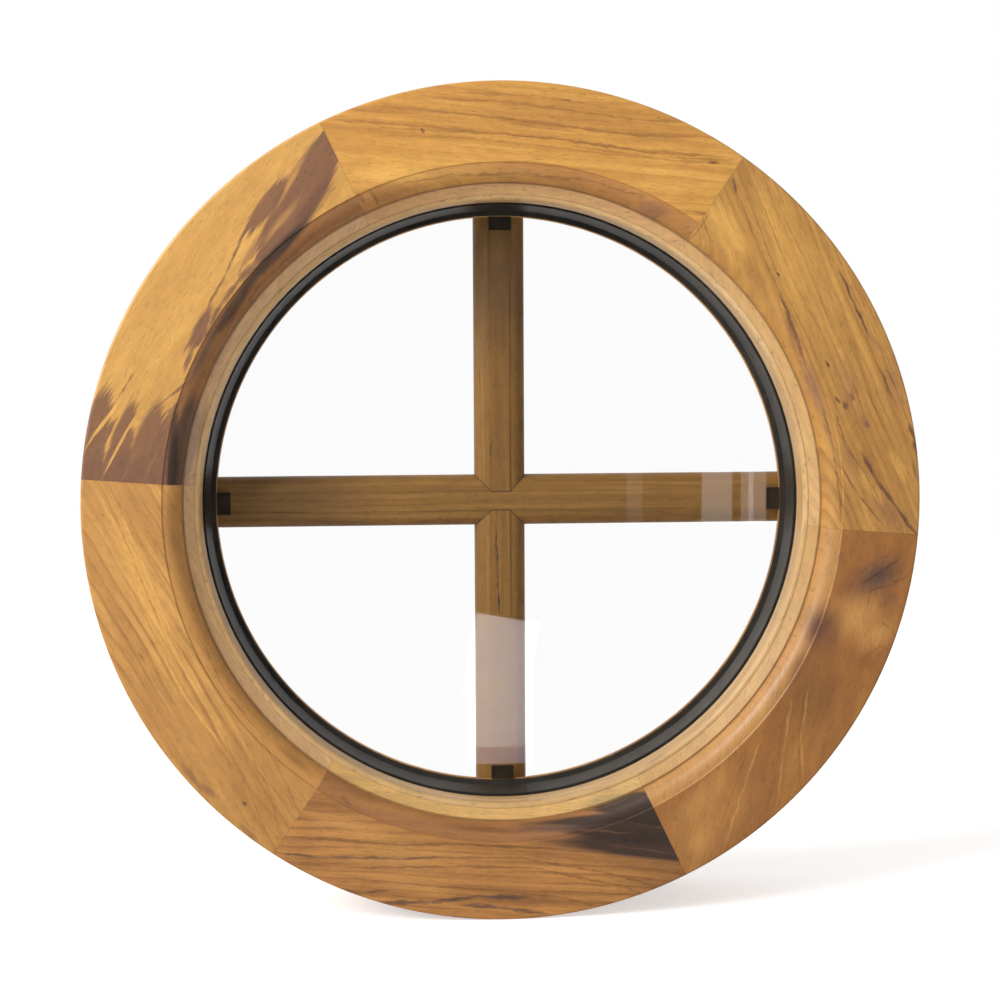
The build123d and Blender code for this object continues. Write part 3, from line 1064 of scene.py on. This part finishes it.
LOWER_RIGHT = Figure(
    ground="#A26931", pale="#AE7737", line="#8C5931", slope=-104, spacing=22.0, contrast=0.3, wander=6.0,
    lean=0.4, feather=3.0, thin=0.15, moulding="#C28F52", recess="#DAB36F", seed=7.7,
    marks=(
        # Broad clouds of tone
        Mark(826, 634, 886, 596, 46, Stain.HONEY, 0.8, edge=0.95),
        Mark(852, 652, 902, 618, 28, Stain.HONEY, 0.7, edge=0.95),
        Mark(834, 604, 920, 550, 46, Stain.UMBER, 0.35, edge=0.98),
        Mark(838, 596, 916, 558, 36, Stain.HEART, 0.8, edge=0.98),
        Mark(856, 588, 902, 564, 20, Stain.SMOKE, 0.9, edge=0.98),
        Mark(876, 606, 904, 592, 14, Stain.HEART, 0.6, edge=0.98),
        Mark(840, 600, 820, 670, 20, Stain.PLUM, 0.5, edge=0.95),
        Mark(836, 608, 820, 640, 10, Stain.PLUM, 0.5, edge=0.95),
        Mark(846, 656, 888, 668, 16, Stain.UMBER, 0.3, edge=0.95),
        Mark(836, 640, 778, 752, 58, Stain.UMBER, 0.62, edge=0.98),
        Mark(900, 640, 872, 700, 16, Stain.UMBER, 0.35, edge=0.98),
        Mark(770, 760, 640, 890, 66, Stain.HONEY, 0.35, edge=0.95),
        # Short dark lines in the clouds
        *streak(Stain.NIGHT, 2.0, 0.6, (862, 584), (884, 570), (900, 560)),
        *streak(Stain.NIGHT, 1.6, 0.5, (866, 592), (892, 584), (906, 578)),
        *streak(Stain.SMOKE, 1.6, 0.5, (858, 574), (876, 562), (892, 554)),
        *streak(Stain.UMBER, 1.6, 0.5, (880, 620), (892, 630), (900, 642)),
        *streak(Stain.UMBER, 1.6, 0.5, (866, 654), (880, 646), (890, 650)),
        # Long pale lines with dark ones beside them
        *streak(Stain.HONEY, 1.8, 0.55, (806, 690), (799, 735), (801, 784)),
        *streak(Stain.UMBER, 1.6, 0.4, (803, 690), (796, 735), (797, 780)),
        *streak(Stain.HONEY, 1.8, 0.45, (790, 700), (781, 751), (775, 801)),
        *streak(Stain.UMBER, 1.6, 0.35, (784, 712), (775, 760), (766, 806)),
        *streak(Stain.HONEY, 3.0, 0.5, (760, 740), (744, 785), (724, 840)),
        *streak(Stain.UMBER, 1.6, 0.35, (750, 740), (734, 786), (716, 830)),
        *streak(Stain.UMBER, 1.6, 0.3, (832, 700), (824, 735), (818, 768)),
        # Paler wood towards the lower joint
        Mark(742, 752, 664, 836, 26, Stain.HONEY, 0.5, edge=0.98),
        Mark(706, 820, 690, 862, 22, Stain.HONEY, 0.5, edge=0.98),
        # On the rounded edge
        Mark(824, 596, 804, 656, 20, Stain.PLUM, 0.95, 4.0, 0.98),
        Mark(808, 640, 784, 690, 14, Stain.UMBER, 0.6, 4.0, 0.98),
        Mark(838, 546, 834, 568, 9.0, Stain.HEART, 0.4, 7.0, 0.95),
    ),
)

BOTTOM = Figure(
    ground="#B27A3E", pale="#C68946", line="#80502B", slope=-5, spacing=6.0, contrast=0.45, wander=2.0,
    lean=0.3, feather=7.0, thin=0.6, moulding="#9C683E", recess="#ECC67C", seed=9.2,
    marks=(
        # Broad changes of tone
        Mark(296, 812, 400, 838, 16, Stain.HONEY, 0.5, edge=0.9),
        Mark(360, 876, 470, 896, 14, Stain.HONEY, 0.4, edge=0.9),
        Mark(290, 840, 500, 872, 46, Stain.HONEY, 0.4, edge=0.95),
        Mark(580, 858, 790, 904, 56, Stain.UMBER, 0.6, edge=0.95),
        # The dark wedge at the right, on the face and the rounded edge
        Mark(520, 838, 850, 862, 24, Stain.HEART, 0.8, edge=0.6),
        Mark(547, 841, 850, 860, 22, Stain.NIGHT, 0.92, edge=0.28),
        Mark(560, 826, 830, 836, 26, Stain.NIGHT, 0.95, edge=0.15),
        Mark(580, 804, 740, 806, 22, Stain.NIGHT, 0.97, edge=0.2),
        Mark(556, 834, 700, 838, 14, Stain.NIGHT, 0.85, 6.0, 0.6),
        Mark(590, 818, 760, 816, 18, Stain.NIGHT, 0.95, 6.0, 0.4),
        # Redder threads in it
        *streak(Stain.HEART, 1.8, 0.45, (560, 830), (596, 831), (628, 834)),
        *streak(Stain.HEART, 1.4, 0.4, (616, 822), (640, 824), (664, 828)),
        *streak(Stain.HEART, 1.4, 0.4, (612, 846), (644, 850), (676, 855)),
        # Dark lines of late wood
        *streak(Stain.UMBER, 3.0, 0.7, (286, 836), (401, 845), (462, 844), (560, 850)),
        *streak(Stain.SMOKE, 3.0, 0.7, (275, 852), (319, 858), (401, 859), (440, 857)),
        *streak(Stain.UMBER, 2.2, 0.6, (440, 857), (520, 858), (600, 872), (668, 890)),
        *streak(Stain.UMBER, 2.2, 0.6, (341, 869), (462, 866), (533, 868), (626, 888), (650, 898)),
        *streak(Stain.UMBER, 2.0, 0.5, (366, 881), (440, 886), (500, 890)),
        *streak(Stain.SMOKE, 2.6, 0.65, (340, 889), (360, 893), (392, 891)),
        *streak(Stain.SMOKE, 4.4, 0.85, (380, 903), (432, 902), (478, 896), (530, 897)),
        *streak(Stain.SMOKE, 4.0, 0.8, (458, 904), (506, 908), (548, 914)),
        *streak(Stain.UMBER, 2.2, 0.55, (517, 893), (561, 898), (607, 909)),
        # On the rounded edge
        Mark(506, 826, 720, 812, 9.0, Stain.NIGHT, 0.9, 6.0, 0.5),
        Mark(500, 830, 600, 828, 7.0, Stain.SMOKE, 0.8, 4.0, 0.8),
        Mark(440, 826, 540, 834, 7.0, Stain.UMBER, 0.75, 6.0, 0.8),
        Mark(330, 800, 470, 832, 12, Stain.ROSE, 0.25, 6.0, 0.9),
        Mark(340, 796, 352, 806, 4.0, Stain.PLUM, 0.5, 6.0),
        Mark(330, 794, 450, 824, 12, Stain.HONEY, 0.35, 6.0, 0.9),
    ),
)

LOWER_LEFT = Figure(
    ground="#C08A46", pale="#D29C51", line="#A06E37", slope=-60, spacing=7.0, contrast=0.3, wander=3.0,
    lean=0.3, thin=0.75, moulding="#BF8847", recess="#DCB98E", seed=12.9,
    marks=(
        # Broad changes of tone
        Mark(94, 478, 190, 690, 22, Stain.GOLD, 0.6, edge=0.9),
        Mark(92, 560, 190, 790, 20, Stain.BROWN, 0.35, edge=0.9),
        # Pale and dark lines of growth
        *streak(Stain.GOLD, 2.2, 0.6, (140, 610), (160, 650), (186, 698), (226, 752)),
        *streak(Stain.BROWN, 2.6, 0.35, (120, 500), (150, 560), (172, 600)),
        *streak(Stain.BROWN, 2.6, 0.4, (128, 580), (160, 650), (200, 715)),
        *streak(Stain.BROWN, 3.0, 0.5, (212, 740), (240, 776), (277, 820)),
        *streak(Stain.BROWN, 3.0, 0.4, (236, 740), (262, 776), (290, 806)),
        # Stains at the rim, and pin knots
        *streak(Stain.HEART, 7.0, 0.6, (184, 766), (198, 784), (216, 796)),
        *streak(Stain.HEART, 5.0, 0.6, (240, 824), (258, 842)),
        Mark(137, 653, 146, 663, 4.0, Stain.UMBER, 0.5, edge=0.9),
        Mark(243, 801, 246, 806, 2.6, Stain.NIGHT, 0.8, ragged=False),
        # More lines, and browner wood at the lower joint
        *streak(Stain.BROWN, 2.4, 0.6, (240, 732), (268, 786), (283, 838)),
        *streak(Stain.BROWN, 2.2, 0.6, (226, 744), (250, 790), (266, 830)),
        *streak(Stain.BROWN, 2.0, 0.55, (262, 738), (284, 776), (298, 812)),
        *streak(Stain.BROWN, 2.0, 0.5, (102, 491), (134, 559), (169, 647), (219, 739)),
        *streak(Stain.GOLD, 2.0, 0.5, (108, 488), (140, 556), (176, 644), (226, 734)),
        Mark(210, 740, 300, 860, 44, Stain.BROWN, 0.3, edge=0.95),
        # On the rounded edge
        Mark(166, 480, 176, 580, 14, Stain.UMBER, 0.4, 5.0, 0.9),
        *streak(Stain.UMBER, 1.6, 0.5, (182, 500), (188, 560), (204, 620), depth=9.0),
        *streak(Stain.UMBER, 1.6, 0.5, (200, 640), (224, 690), (256, 730), depth=7.0),
        Mark(268, 738, 320, 780, 8.0, Stain.UMBER, 0.4, 6.0, 0.9),
    ),
)

UPPER_LEFT = Figure(
    ground="#CC984D", pale="#D8A555", line="#BC8743", slope=56, spacing=14.0, contrast=0.3, wander=3.0,
    lean=0.25, feather=12.0, thin=0.12, moulding="#8B5835", recess="#D4B496", seed=15.4,
    marks=(
        # Tongues of heartwood that rise from the lower joint
        Mark(60, 560, 108, 386, 26, Stain.HEART, 0.92, edge=0.15),
        Mark(92, 560, 134, 398, 16, Stain.HEART, 0.92, edge=0.15),
        Mark(120, 570, 160, 402, 28, Stain.HEART, 0.92, edge=0.15),
        Mark(146, 560, 174, 406, 20, Stain.HEART, 0.9, edge=0.2),
        Mark(64, 484, 190, 484, 50, Stain.HEART, 0.92, edge=0.3),
        # Redder threads in them
        *streak(Stain.ROSE, 4.0, 0.45, (98, 484), (122, 436)),
        *streak(Stain.ROSE, 3.0, 0.4, (118, 486), (146, 430)),
        *streak(Stain.ROSE, 3.4, 0.4, (142, 484), (164, 436)),
        # Pale wood between them
        Mark(84, 450, 125, 395, 3.0, Stain.GOLD, 0.85, edge=0.5),
        Mark(106, 470, 138, 412, 2.6, Stain.GOLD, 0.85, edge=0.5),
        # Fine dark tips
        *streak(Stain.HEART, 2.6, 0.85, (146, 418), (165, 400), (188, 380)),
        *streak(Stain.HEART, 2.0, 0.75, (154, 424), (174, 406), (184, 396)),
        *streak(Stain.HEART, 2.0, 0.7, (120, 396), (128, 384), (134, 374)),
        # Heartwood that comes down from the upper joint
        Mark(322, 128, 246, 250, 24, Stain.HONEY, 0.6, edge=0.6),
        Mark(352, 108, 258, 270, 27, Stain.HEART, 0.95, edge=0.14),
        Mark(338, 168, 288, 240, 12, Stain.PLUM, 0.6, edge=0.5),
        Mark(314, 140, 272, 218, 5.0, Stain.HONEY, 0.8, edge=0.9),
        Mark(312, 176, 268, 244, 5.0, Stain.ROSE, 0.6, edge=0.9),
        Mark(322, 168, 286, 226, 3.0, Stain.ROSE, 0.5, edge=0.9),
        Mark(290, 174, 242, 242, 12, Stain.HEART, 0.9, edge=0.25),
        Mark(272, 186, 254, 214, 2.6, Stain.ROSE, 0.6),
        Mark(302, 196, 262, 246, 7.0, Stain.HONEY, 0.5, edge=0.8),
        # Thinner stains along the rounded edge
        *streak(Stain.HEART, 2.8, 0.85, (248, 230), (226, 276), (206, 312), (191, 345)),
        Mark(270, 226, 236, 282, 8.0, Stain.ROSE, 0.6, edge=0.6),
        *streak(Stain.HEART, 6.0, 0.9, (304, 224), (276, 246), (257, 264), (238, 284), (223, 303)),
        *streak(Stain.HEART, 5.0, 0.9, (223, 303), (209, 328), (192, 350), (184, 370)),
        Mark(214, 304, 188, 352, 10, Stain.HEART, 0.9, edge=0.4),
        *streak(Stain.GOLD, 2.0, 0.6, (262, 250), (244, 270), (228, 292)),
        *streak(Stain.HEART, 1.8, 0.6, (336, 186), (326, 200), (318, 212)),
        *streak(Stain.HEART, 1.8, 0.6, (328, 186), (320, 200), (308, 218)),
        # A pin knot
        Mark(236, 279, 240, 283, 3.0, Stain.NIGHT, 0.9),
        # On the rounded edge and, last, in the recess behind it
        Mark(322, 206, 236, 298, 9.0, Stain.NIGHT, 0.85, 3.0, 0.6),
        Mark(266, 262, 204, 350, 8.0, Stain.NIGHT, 0.8, 3.0, 0.6),
        Mark(224, 312, 182, 398, 7.0, Stain.SMOKE, 0.75, 3.0, 0.8),
        *streak(Stain.UMBER, 2.0, 0.6, (300, 250), (262, 286), (236, 322), (212, 368), depth=9.0),
        *streak(Stain.UMBER, 1.8, 0.55, (282, 254), (244, 300), (220, 344), (200, 392), depth=6.0),
        Mark(194, 388, 169, 506, 14, Stain.SMOKE, 0.85, 4.0, 0.35),
        Mark(178, 394, 168, 540, 8.0, Stain.NIGHT, 0.85, 4.0, 0.6),
        Mark(198, 400, 188, 560, 8.0, Stain.PLUM, 0.5, 9.0, 0.6),
        Mark(207, 380, 192, 580, 9.0, Stain.ROSE, 0.85, 16.0, 0.7),
    ),
)


@dataclass
class FrontRing:
    """The front of the frame: six sawn segments, the bead that holds the glass and its joints."""

    view: Viewpoint
    first_joint: float = -4.4
    # Half of each board's recess colour, which is partly painted sheen, covers its walls from 14 mm deep
    recess: Zone = Zone(14.0, 1000.0, 0.5)
    boards: Mapping[str, Figure] = field(default_factory=lambda: {
        "upper_right": UPPER_RIGHT,
        "top": TOP,
        "upper_left": UPPER_LEFT,
        "lower_left": LOWER_LEFT,
        "bottom": BOTTOM,
        "lower_right": LOWER_RIGHT,
    })
    bead: Figure = Figure(
        ground="#CBA36B", pale="#DCB885", line="#B28A62", slope=0, spacing=8.0, contrast=0.4, thin=0.15,
        seed=21.0,
        marks=(
            Mark(768, 362, 798, 402, 16, Stain.ROSE, 0.35, 28.0, 0.95),
            Mark(748, 330, 766, 358, 12, Stain.ROSE, 0.3, 26.0, 0.95),
            Mark(216, 596, 236, 640, 16, Stain.SMOKE, 0.45, 28.0, 0.95),
            Mark(206, 540, 214, 580, 14, Stain.ROSE, 0.35, 28.0, 0.95),
            Mark(206, 420, 204, 500, 14, Stain.ROSE, 0.35, 28.0, 0.95),
            Mark(640, 772, 676, 752, 10, Stain.PLUM, 0.3, 22.0, 0.95),
        ),
    )
    hidden: Figure = Figure(
        ground="#C8A070", pale="#DAB684", line="#A88052", slope=0, spacing=3.0, contrast=0.5, seed=27.0,
    )

    def build(self) -> None:
        """Dresses the segments, the bead and the splines."""
        pairs = joint_pairs(self.first_joint, len(self.boards))
        for pair, (side, figure) in zip(pairs, self.boards.items()):
            finish = OiledTeak(f"oiled_teak_{side}", figure, joints=pair, recess=self.recess)
            dress(f"front_segment_{side}", finish.material(self.view))
        bent = OiledTeak("oiled_teak_bent_bead", self.bead, run=Run.BENT)
        dress("glazing_bead", bent.material(self.view))
        dress("bead_filler", OiledTeak("oiled_teak_filler", self.bead).material(self.view))
        plain = OiledTeak("planed_teak_joinery", self.hidden).material(self.view)
        dress("front_splines", plain)


@dataclass
class RearRing:
    """The back of the frame: six plainer segments with the stop that the glass sits against."""

    view: Viewpoint
    first_joint: float = -45.0
    first_seed: float = 31.0
    next_seed: float = 2.3
    grounds: Mapping[str, str] = field(default_factory=lambda: {
        "lower_right": "#B5834A",
        "upper_right": "#C4914F",
        "top": "#CB9852",
        "upper_left": "#B98748",
        "lower_left": "#C28F50",
        "bottom": "#B07E46",
    })
    joinery: Figure = Figure(
        ground="#CDA873", pale="#DDBC8A", line="#AE8555", slope=0, spacing=3.0, contrast=0.5, seed=45.0,
    )

    def figure(self, index: int, ground: str, joints: tuple[float, float]) -> Figure:
        """Gives one rear board its figure.

        Args:
            index: its place in the ring.
            ground: its colour, as an sRGB hex value.
            joints: the angles of its ends, in degrees.

        Returns:
            The figure, with grain that runs along the board.
        """
        middle = sum(joints) / 2 % 360
        return Figure(
            ground=ground, pale="#D6A661", line="#93683C", slope=middle + 90, spacing=7.0, contrast=0.55,
            wander=5.0, lean=0.5, seed=self.first_seed + index * self.next_seed,
        )

    def build(self) -> None:
        """Dresses the rear segments, their splines and the dowels between the rings."""
        pairs = joint_pairs(self.first_joint, len(self.grounds))
        for index, (pair, (side, ground)) in enumerate(zip(pairs, self.grounds.items())):
            figure = self.figure(index, ground, pair)
            finish = OiledTeak(f"oiled_teak_rear_{side}", figure, joints=pair)
            dress(f"rear_segment_{side}", finish.material(self.view))
        plain = OiledTeak("turned_teak_dowels", self.joinery).material(self.view)
        for node in ("rear_splines", "ring_dowels", "cross_dowels"):
            dress(node, plain)


@dataclass
class Bars:
    """The glazing bars: one level bar and two upright halves coped onto it, with their fixings."""

    view: Viewpoint
    level: Figure = Figure(
        ground="#84602F", pale="#906B38", line="#6C4C28", slope=0, spacing=5.0, contrast=0.35, wander=2.0,
        thin=0.4, seed=51.0,
        marks=(
            # Painted shade: the left end of the level bar is darkened where the ring shades it
            Mark(190, 502, 392, 502, 120, Stain.NIGHT, 0.38, BARS_MM, 0.95),
            *streak(Stain.SMOKE, 1.4, 0.5, (560, 509), (600, 512), (650, 510), depth=BARS_MM),
        ),
    )
    upright: Figure = Figure(
        ground="#825E2F", pale="#8E6937", line="#6A4B27", slope=90, spacing=5.0, contrast=0.35, wander=2.0,
        thin=0.4, seed=57.0,
        marks=(
            # Painted shade: the top end of the upright is darkened where the ring shades it
            Mark(498, 190, 498, 380, 120, Stain.NIGHT, 0.5, BARS_MM, 0.95),
            *streak(Stain.NIGHT, 1.8, 0.85, (496, 528), (497, 570), (499, 618), depth=BARS_MM),
            *streak(Stain.NIGHT, 1.6, 0.75, (490, 438), (491, 468), depth=BARS_MM),
        ),
    )
    flat_mm: float = 7.0
    pad: SoftBlack = SoftBlack(
        "moulded_rubber_pad", "#2B2116", "#382B1C", roughness=0.7, grain_mm=0.8, ripple=0.15, specular=0.2,
    )

    def finish(self, name: str, figure: Figure) -> OiledTeak:
        """Returns teak that the glass keeps dry, so that it has hardly any gloss."""
        return OiledTeak(name, figure, ior=1.3, roughness=0.55, coat=0.0, flat_mm=self.flat_mm)

    def build(self) -> None:
        """Dresses the bars, the pads on their ends and the screws."""
        dress("horizontal_bar", self.finish("dark_teak_level_bar", self.level).material(self.view))
        upright = self.finish("dark_teak_upright_bar", self.upright).material(self.view)
        for node in ("upper_bar", "lower_bar"):
            dress(node, upright)
        dress("bar_pads", self.pad.material())
        dress("bar_screws", TurnedBrass().material())


@dataclass
class Glazing:
    """The sealed glass unit with its spacer, seals, tapes and blocks."""

    tape: SoftBlack = SoftBlack(
        "foam_glazing_tape", "#2B2620", "#3A332B", roughness=0.75, grain_mm=0.7, ripple=0.3, dust=0.35,
    )
    spacer: SoftBlack = SoftBlack(
        "coated_spacer_bar", "#2B2723", "#38332D", roughness=0.42, grain_mm=1.2, ripple=0.12, specular=0.38,
    )
    sealant: SoftBlack = SoftBlack(
        "polysulphide_sealant", "#24211E", "#302C28", roughness=0.5, grain_mm=1.6, ripple=0.4,
    )
    blocks: SoftBlack = SoftBlack(
        "hard_rubber_block", "#26241F", "#35312B", roughness=0.65, grain_mm=0.9,
    )

    def build(self) -> None:
        """Dresses the panes, the spacer, the seals and the blocks."""
        glass = FloatGlass().material()
        for node in ("front_pane", "rear_pane"):
            dress(node, glass)
        tape = self.tape.material()
        for node in ("front_glazing_tape", "rear_glazing_tape"):
            dress(node, tape)
        dress("glass_spacer", self.spacer.material())
        dress("edge_sealant", self.sealant.material())
        blocks = self.blocks.material()
        for node in ("setting_blocks", "locating_blocks"):
            dress(node, blocks)


@dataclass(frozen=True)
class SoftLamp:
    """A square soft box aimed at the window.

    Its share is the part of the plain level that it gives a surface facing it, where 1 shows a
    colour as it is written.
    """

    name: str
    place: tuple[float, float, float]
    size: float
    share: float

    def build(self) -> bpy.types.Object:
        """Makes the lamp.

        Returns:
            The lamp, aimed at the middle of the window.
        """
        start = Vector(self.place)
        data = bpy.data.lights.new(self.name, "AREA")
        data.shape = "SQUARE"
        data.size = self.size
        data.energy = self.share * math.pi ** 2 * start.length_squared
        lamp = bpy.data.objects.new(self.name, data)
        bpy.context.scene.collection.objects.link(lamp)
        lamp.location = start
        lamp.rotation_mode = "QUATERNION"
        lamp.rotation_quaternion = (-start).to_track_quat("-Z", "Y")
        return lamp


@dataclass(frozen=True)
class RoomCard:
    """A pale thing in the room in front of the window, which only the glass mirrors.

    Its sides are the pixels of the photograph where its reflection starts and ends, its slant is
    the degrees that they lean, and a light of 1 is as bright as the white background. It is at
    its full light from the middle out to a share, and fades out to its sides.
    """

    left: float
    top: float
    right: float
    bottom: float
    tint: str
    light: float
    slant: float = 0.0
    full_light: float = 0.94

    def shade(self, tree: Tree, spread: Node, view: Viewpoint) -> Node:
        """Draws the card.

        Args:
            tree: the world's nodes.
            spread: the direction's rise to the right and up.
            view: finds the directions that the pixels mirror.

        Returns:
            The card's light as a colour, black beside it.
        """
        left, top = view.mirrored(self.left, self.top)
        right, bottom = view.mirrored(self.right, self.bottom)
        local = add_node(
            tree, "Mapping", {"vector_type": "TEXTURE"},
            {
                "Location": ((left + right) / 2, (top + bottom) / 2, 0.0),
                "Rotation": (0.0, 0.0, math.radians(self.slant)),
                "Scale": ((right - left) / 2, (top - bottom) / 2, 1.0),
            },
            {"Vector": spread},
        )
        sides = add_node(tree, "VectorMath", {"operation": "ABSOLUTE"}, links={0: local})
        apart = add_node(tree, "SeparateXYZ", links={0: sides})
        farther = add_node(
            tree, "Math", {"operation": "MAXIMUM"}, links={0: apart.outputs[0], 1: apart.outputs[1]},
        )
        cover = add_node(
            tree, "MapRange",
            values={"From Min": self.full_light, "From Max": 1.0, "To Min": self.light, "To Max": 0.0},
            links={"Value": farther},
        )
        return add_node(
            tree, "VectorMath", {"operation": "SCALE"}, {0: linear(self.tint)[:3]}, {"Scale": cover},
        )


@dataclass
class Studio:
    """A pale floor, soft light and a white background, with the camera.

    The horizon is the stretch of y directions over which what gloss mirrors turns from the dim
    room in front to the white behind. A card shows to a ray that has crossed about as many glass
    faces as the first number says, give or take the second. A ray that hardly looks ahead counts
    as looking the least ahead, so that nothing is divided by zero.
    """

    view: Viewpoint
    ambient: float = 0.52
    front_gloom: float = 0.05
    horizon: tuple[float, float] = (-0.1, 0.25)
    glass_faces: tuple[float, float] = (4.0, 2.5)
    least_ahead: float = 0.05
    floor_radius: float = 3.0
    floor_rings: int = 6
    floor_sides: int = 64
    floor_glow: float = 0.54
    lamps: tuple[SoftLamp, ...] = (
        SoftLamp("key_soft_box", place=(-2.02, -1.50, 1.44), size=1.2, share=0.92),
    )
    cards: tuple[RoomCard, ...] = (
        RoomCard(468, 617, 534, 700, "#FAF8FF", 10.0, -10.8),
        RoomCard(468, 640, 534, 749, "#FAF8FF", 9.6),
        RoomCard(468, 748, 534, 764, "#E4E0FF", 5.5),
        RoomCard(626, 471, 642, 524, "#F8ECE8", 1.4),
        RoomCard(702, 471, 733, 524, "#EAF0F6", 4.4),
        RoomCard(741, 471, 767, 524, "#F4EAEA", 3.8),
        RoomCard(749, 471, 754, 524, "#FFFFFF", 8.0),
    )

    def build(self) -> None:
        """Makes the camera, lamps, floor and world."""
        self.view.build()
        for lamp in self.lamps:
            lamp.build()
        self._floor()
        self._world()
        bpy.context.scene.view_settings.view_transform = "Standard"

    def _floor(self) -> None:
        """Lays a pale painted floor under the window, white to the camera but for its shadow.

        Its rings of faces are finer towards the middle.
        """
        low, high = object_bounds()
        sides = self.floor_sides
        points = [(0.0, 0.0, 0.0)]
        for ring in range(1, self.floor_rings + 1):
            reach = self.floor_radius * (ring / self.floor_rings) ** 2
            for side in range(sides):
                turn = 2 * math.pi * side / sides
                points.append((reach * math.cos(turn), reach * math.sin(turn), 0.0))
        faces = []
        for side in range(sides):
            after = (side + 1) % sides
            faces.append((0, 1 + side, 1 + after))
            for ring in range(self.floor_rings - 1):
                inner = 1 + ring * sides
                outer = inner + sides
                faces.append((inner + side, outer + side, outer + after, inner + after))
        mesh = bpy.data.meshes.new("floor")
        mesh.from_pydata(points, [], faces)
        floor = bpy.data.objects.new("floor", mesh)
        bpy.context.scene.collection.objects.link(floor)
        floor.location = ((low.x + high.x) / 2, (low.y + high.y) / 2, low.z)
        mesh.materials.append(self._floor_paint())
        floor.visible_glossy = floor.visible_transmission = False
        floor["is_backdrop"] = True

    def _floor_paint(self) -> Material:
        """Returns matt white paint that glows a little for the camera and what it sees through."""
        material, tree, place = new_material("matt_floor_paint")
        mottle = add_node(tree, "TexNoise", values={"Scale": 9.0, "Detail": 3.0}, links={"Vector": place})
        colour = add_node(
            tree, "Mix", {"data_type": "RGBA"}, {6: linear("#EDECEA"), 7: linear("#F4F3F1")}, {0: mottle},
        ).outputs[2]
        path = add_node(tree, "LightPath")
        glow = add_node(
            tree, "Math", {"operation": "MULTIPLY"}, {1: self.floor_glow}, {0: self._seen(tree, path)},
        )
        shader = add_node(
            tree, "BsdfPrincipled",
            values={"Roughness": 0.9, "Specular IOR Level": 0.1, "Emission Color": linear("#FFFFFF")},
            links={"Base Color": colour, "Emission Strength": glow},
        )
        add_node(tree, "OutputMaterial", links={"Surface": shader})
        return material

    def _seen(self, tree: Tree, path: Node) -> Node:
        """Tells the rays that show the background from those that light or mirror.

        Args:
            tree: the nodes that it joins.
            path: the tree's Light Path node.

        Returns:
            1 for the camera's rays, also straight through the glass, and 0 for all others.
        """
        direct = add_node(
            tree, "Math", {"operation": "LESS_THAN"}, {1: 0.5}, {0: path.outputs["Glossy Depth"]},
        )
        through = add_node(
            tree, "Math", {"operation": "MULTIPLY"},
            links={0: path.outputs["Is Transmission Ray"], 1: direct},
        )
        return add_node(
            tree, "Math", {"operation": "MAXIMUM"}, links={0: path.outputs["Is Camera Ray"], 1: through},
        )

    def _world(self) -> None:
        """Makes the surroundings: white as seen, and a plain even level as light.

        In gloss, the window mirrors white behind it and a dim room in front.
        """
        world = bpy.data.worlds.new("studio")
        world.use_nodes = True
        bpy.context.scene.world = world
        tree = world.node_tree
        tree.nodes.clear()
        white = linear("#FFFFFF")
        way = add_node(tree, "TexCoord").outputs["Generated"]
        apart = add_node(tree, "SeparateXYZ", links={0: way})
        front, behind = self.horizon
        back = add_node(
            tree, "MapRange", {"interpolation_type": "SMOOTHSTEP"}, {"From Min": front, "From Max": behind},
            {"Value": apart.outputs[1]},
        )
        path = add_node(tree, "LightPath")
        room = add_node(
            tree, "VectorMath", {"operation": "ADD"}, links={0: back, 1: self._cards(tree, apart, path)},
        )
        gloss = add_node(
            tree, "VectorMath", {"operation": "MAXIMUM"}, {1: (self.front_gloom,) * 3}, {0: room},
        )
        lit = add_node(tree, "Background", values={"Color": white, "Strength": self.ambient})
        mirrored = add_node(tree, "Background", values={"Strength": 1.0}, links={"Color": gloss})
        seen = add_node(tree, "Background", values={"Color": white, "Strength": 1.0})
        bright = add_node(
            tree, "Math", {"operation": "MAXIMUM"},
            links={0: path.outputs["Is Glossy Ray"], 1: path.outputs["Is Transmission Ray"]},
        )
        unseen = add_node(tree, "MixShader", links={0: bright, 1: lit, 2: mirrored})
        mixed = add_node(tree, "MixShader", links={0: self._seen(tree, path), 1: unseen, 2: seen})
        add_node(tree, "OutputWorld", links={"Surface": mixed})

    def _cards(self, tree: Tree, way: Node, path: Node) -> Node:
        """Draws the cards that the glass mirrors over the bars.

        Only the glass shows them: a ray that its inner faces send back crosses two to six of
        its faces on the whole, and one that has also met the wood behind it crosses eight.

        Args:
            tree: the world's nodes.
            way: the direction of the ray, taken apart.
            path: the world's Light Path node.

        Returns:
            The light of all cards in that direction.
        """
        ahead = add_node(tree, "Math", {"operation": "MULTIPLY"}, {1: -1.0}, {0: way.outputs[1]})
        limited = add_node(tree, "Math", {"operation": "MAXIMUM"}, {1: self.least_ahead}, {0: ahead})
        flat = add_node(tree, "CombineXYZ", links={0: way.outputs[0], 1: way.outputs[2]})
        inverse = add_node(tree, "Math", {"operation": "DIVIDE"}, {0: 1.0}, {1: limited})
        spread = add_node(tree, "VectorMath", {"operation": "SCALE"}, links={0: flat, "Scale": inverse})
        brightest = self.cards[0].shade(tree, spread, self.view)
        for card in self.cards[1:]:
            brightest = add_node(
                tree, "VectorMath", {"operation": "MAXIMUM"},
                links={0: brightest, 1: card.shade(tree, spread, self.view)},
            )
        crossed, reach = self.glass_faces
        few = add_node(
            tree, "Math", {"operation": "COMPARE"}, {1: crossed, 2: reach},
            {0: path.outputs["Transmission Depth"]},
        )
        return add_node(tree, "VectorMath", {"operation": "SCALE"}, links={0: brightest, "Scale": few})


def main() -> None:
    """Builds the window and its studio, in order."""
    logging.basicConfig(level=logging.INFO, format="%(name)s: %(message)s")
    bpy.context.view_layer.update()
    view = Viewpoint()
    for assembly in (FrontRing(view), RearRing(view), Glazing(), Bars(view)):
        assembly.build()
        log.info("%s is dressed", type(assembly).__name__)
    Studio(view).build()


if __name__ == "__main__":
    main()
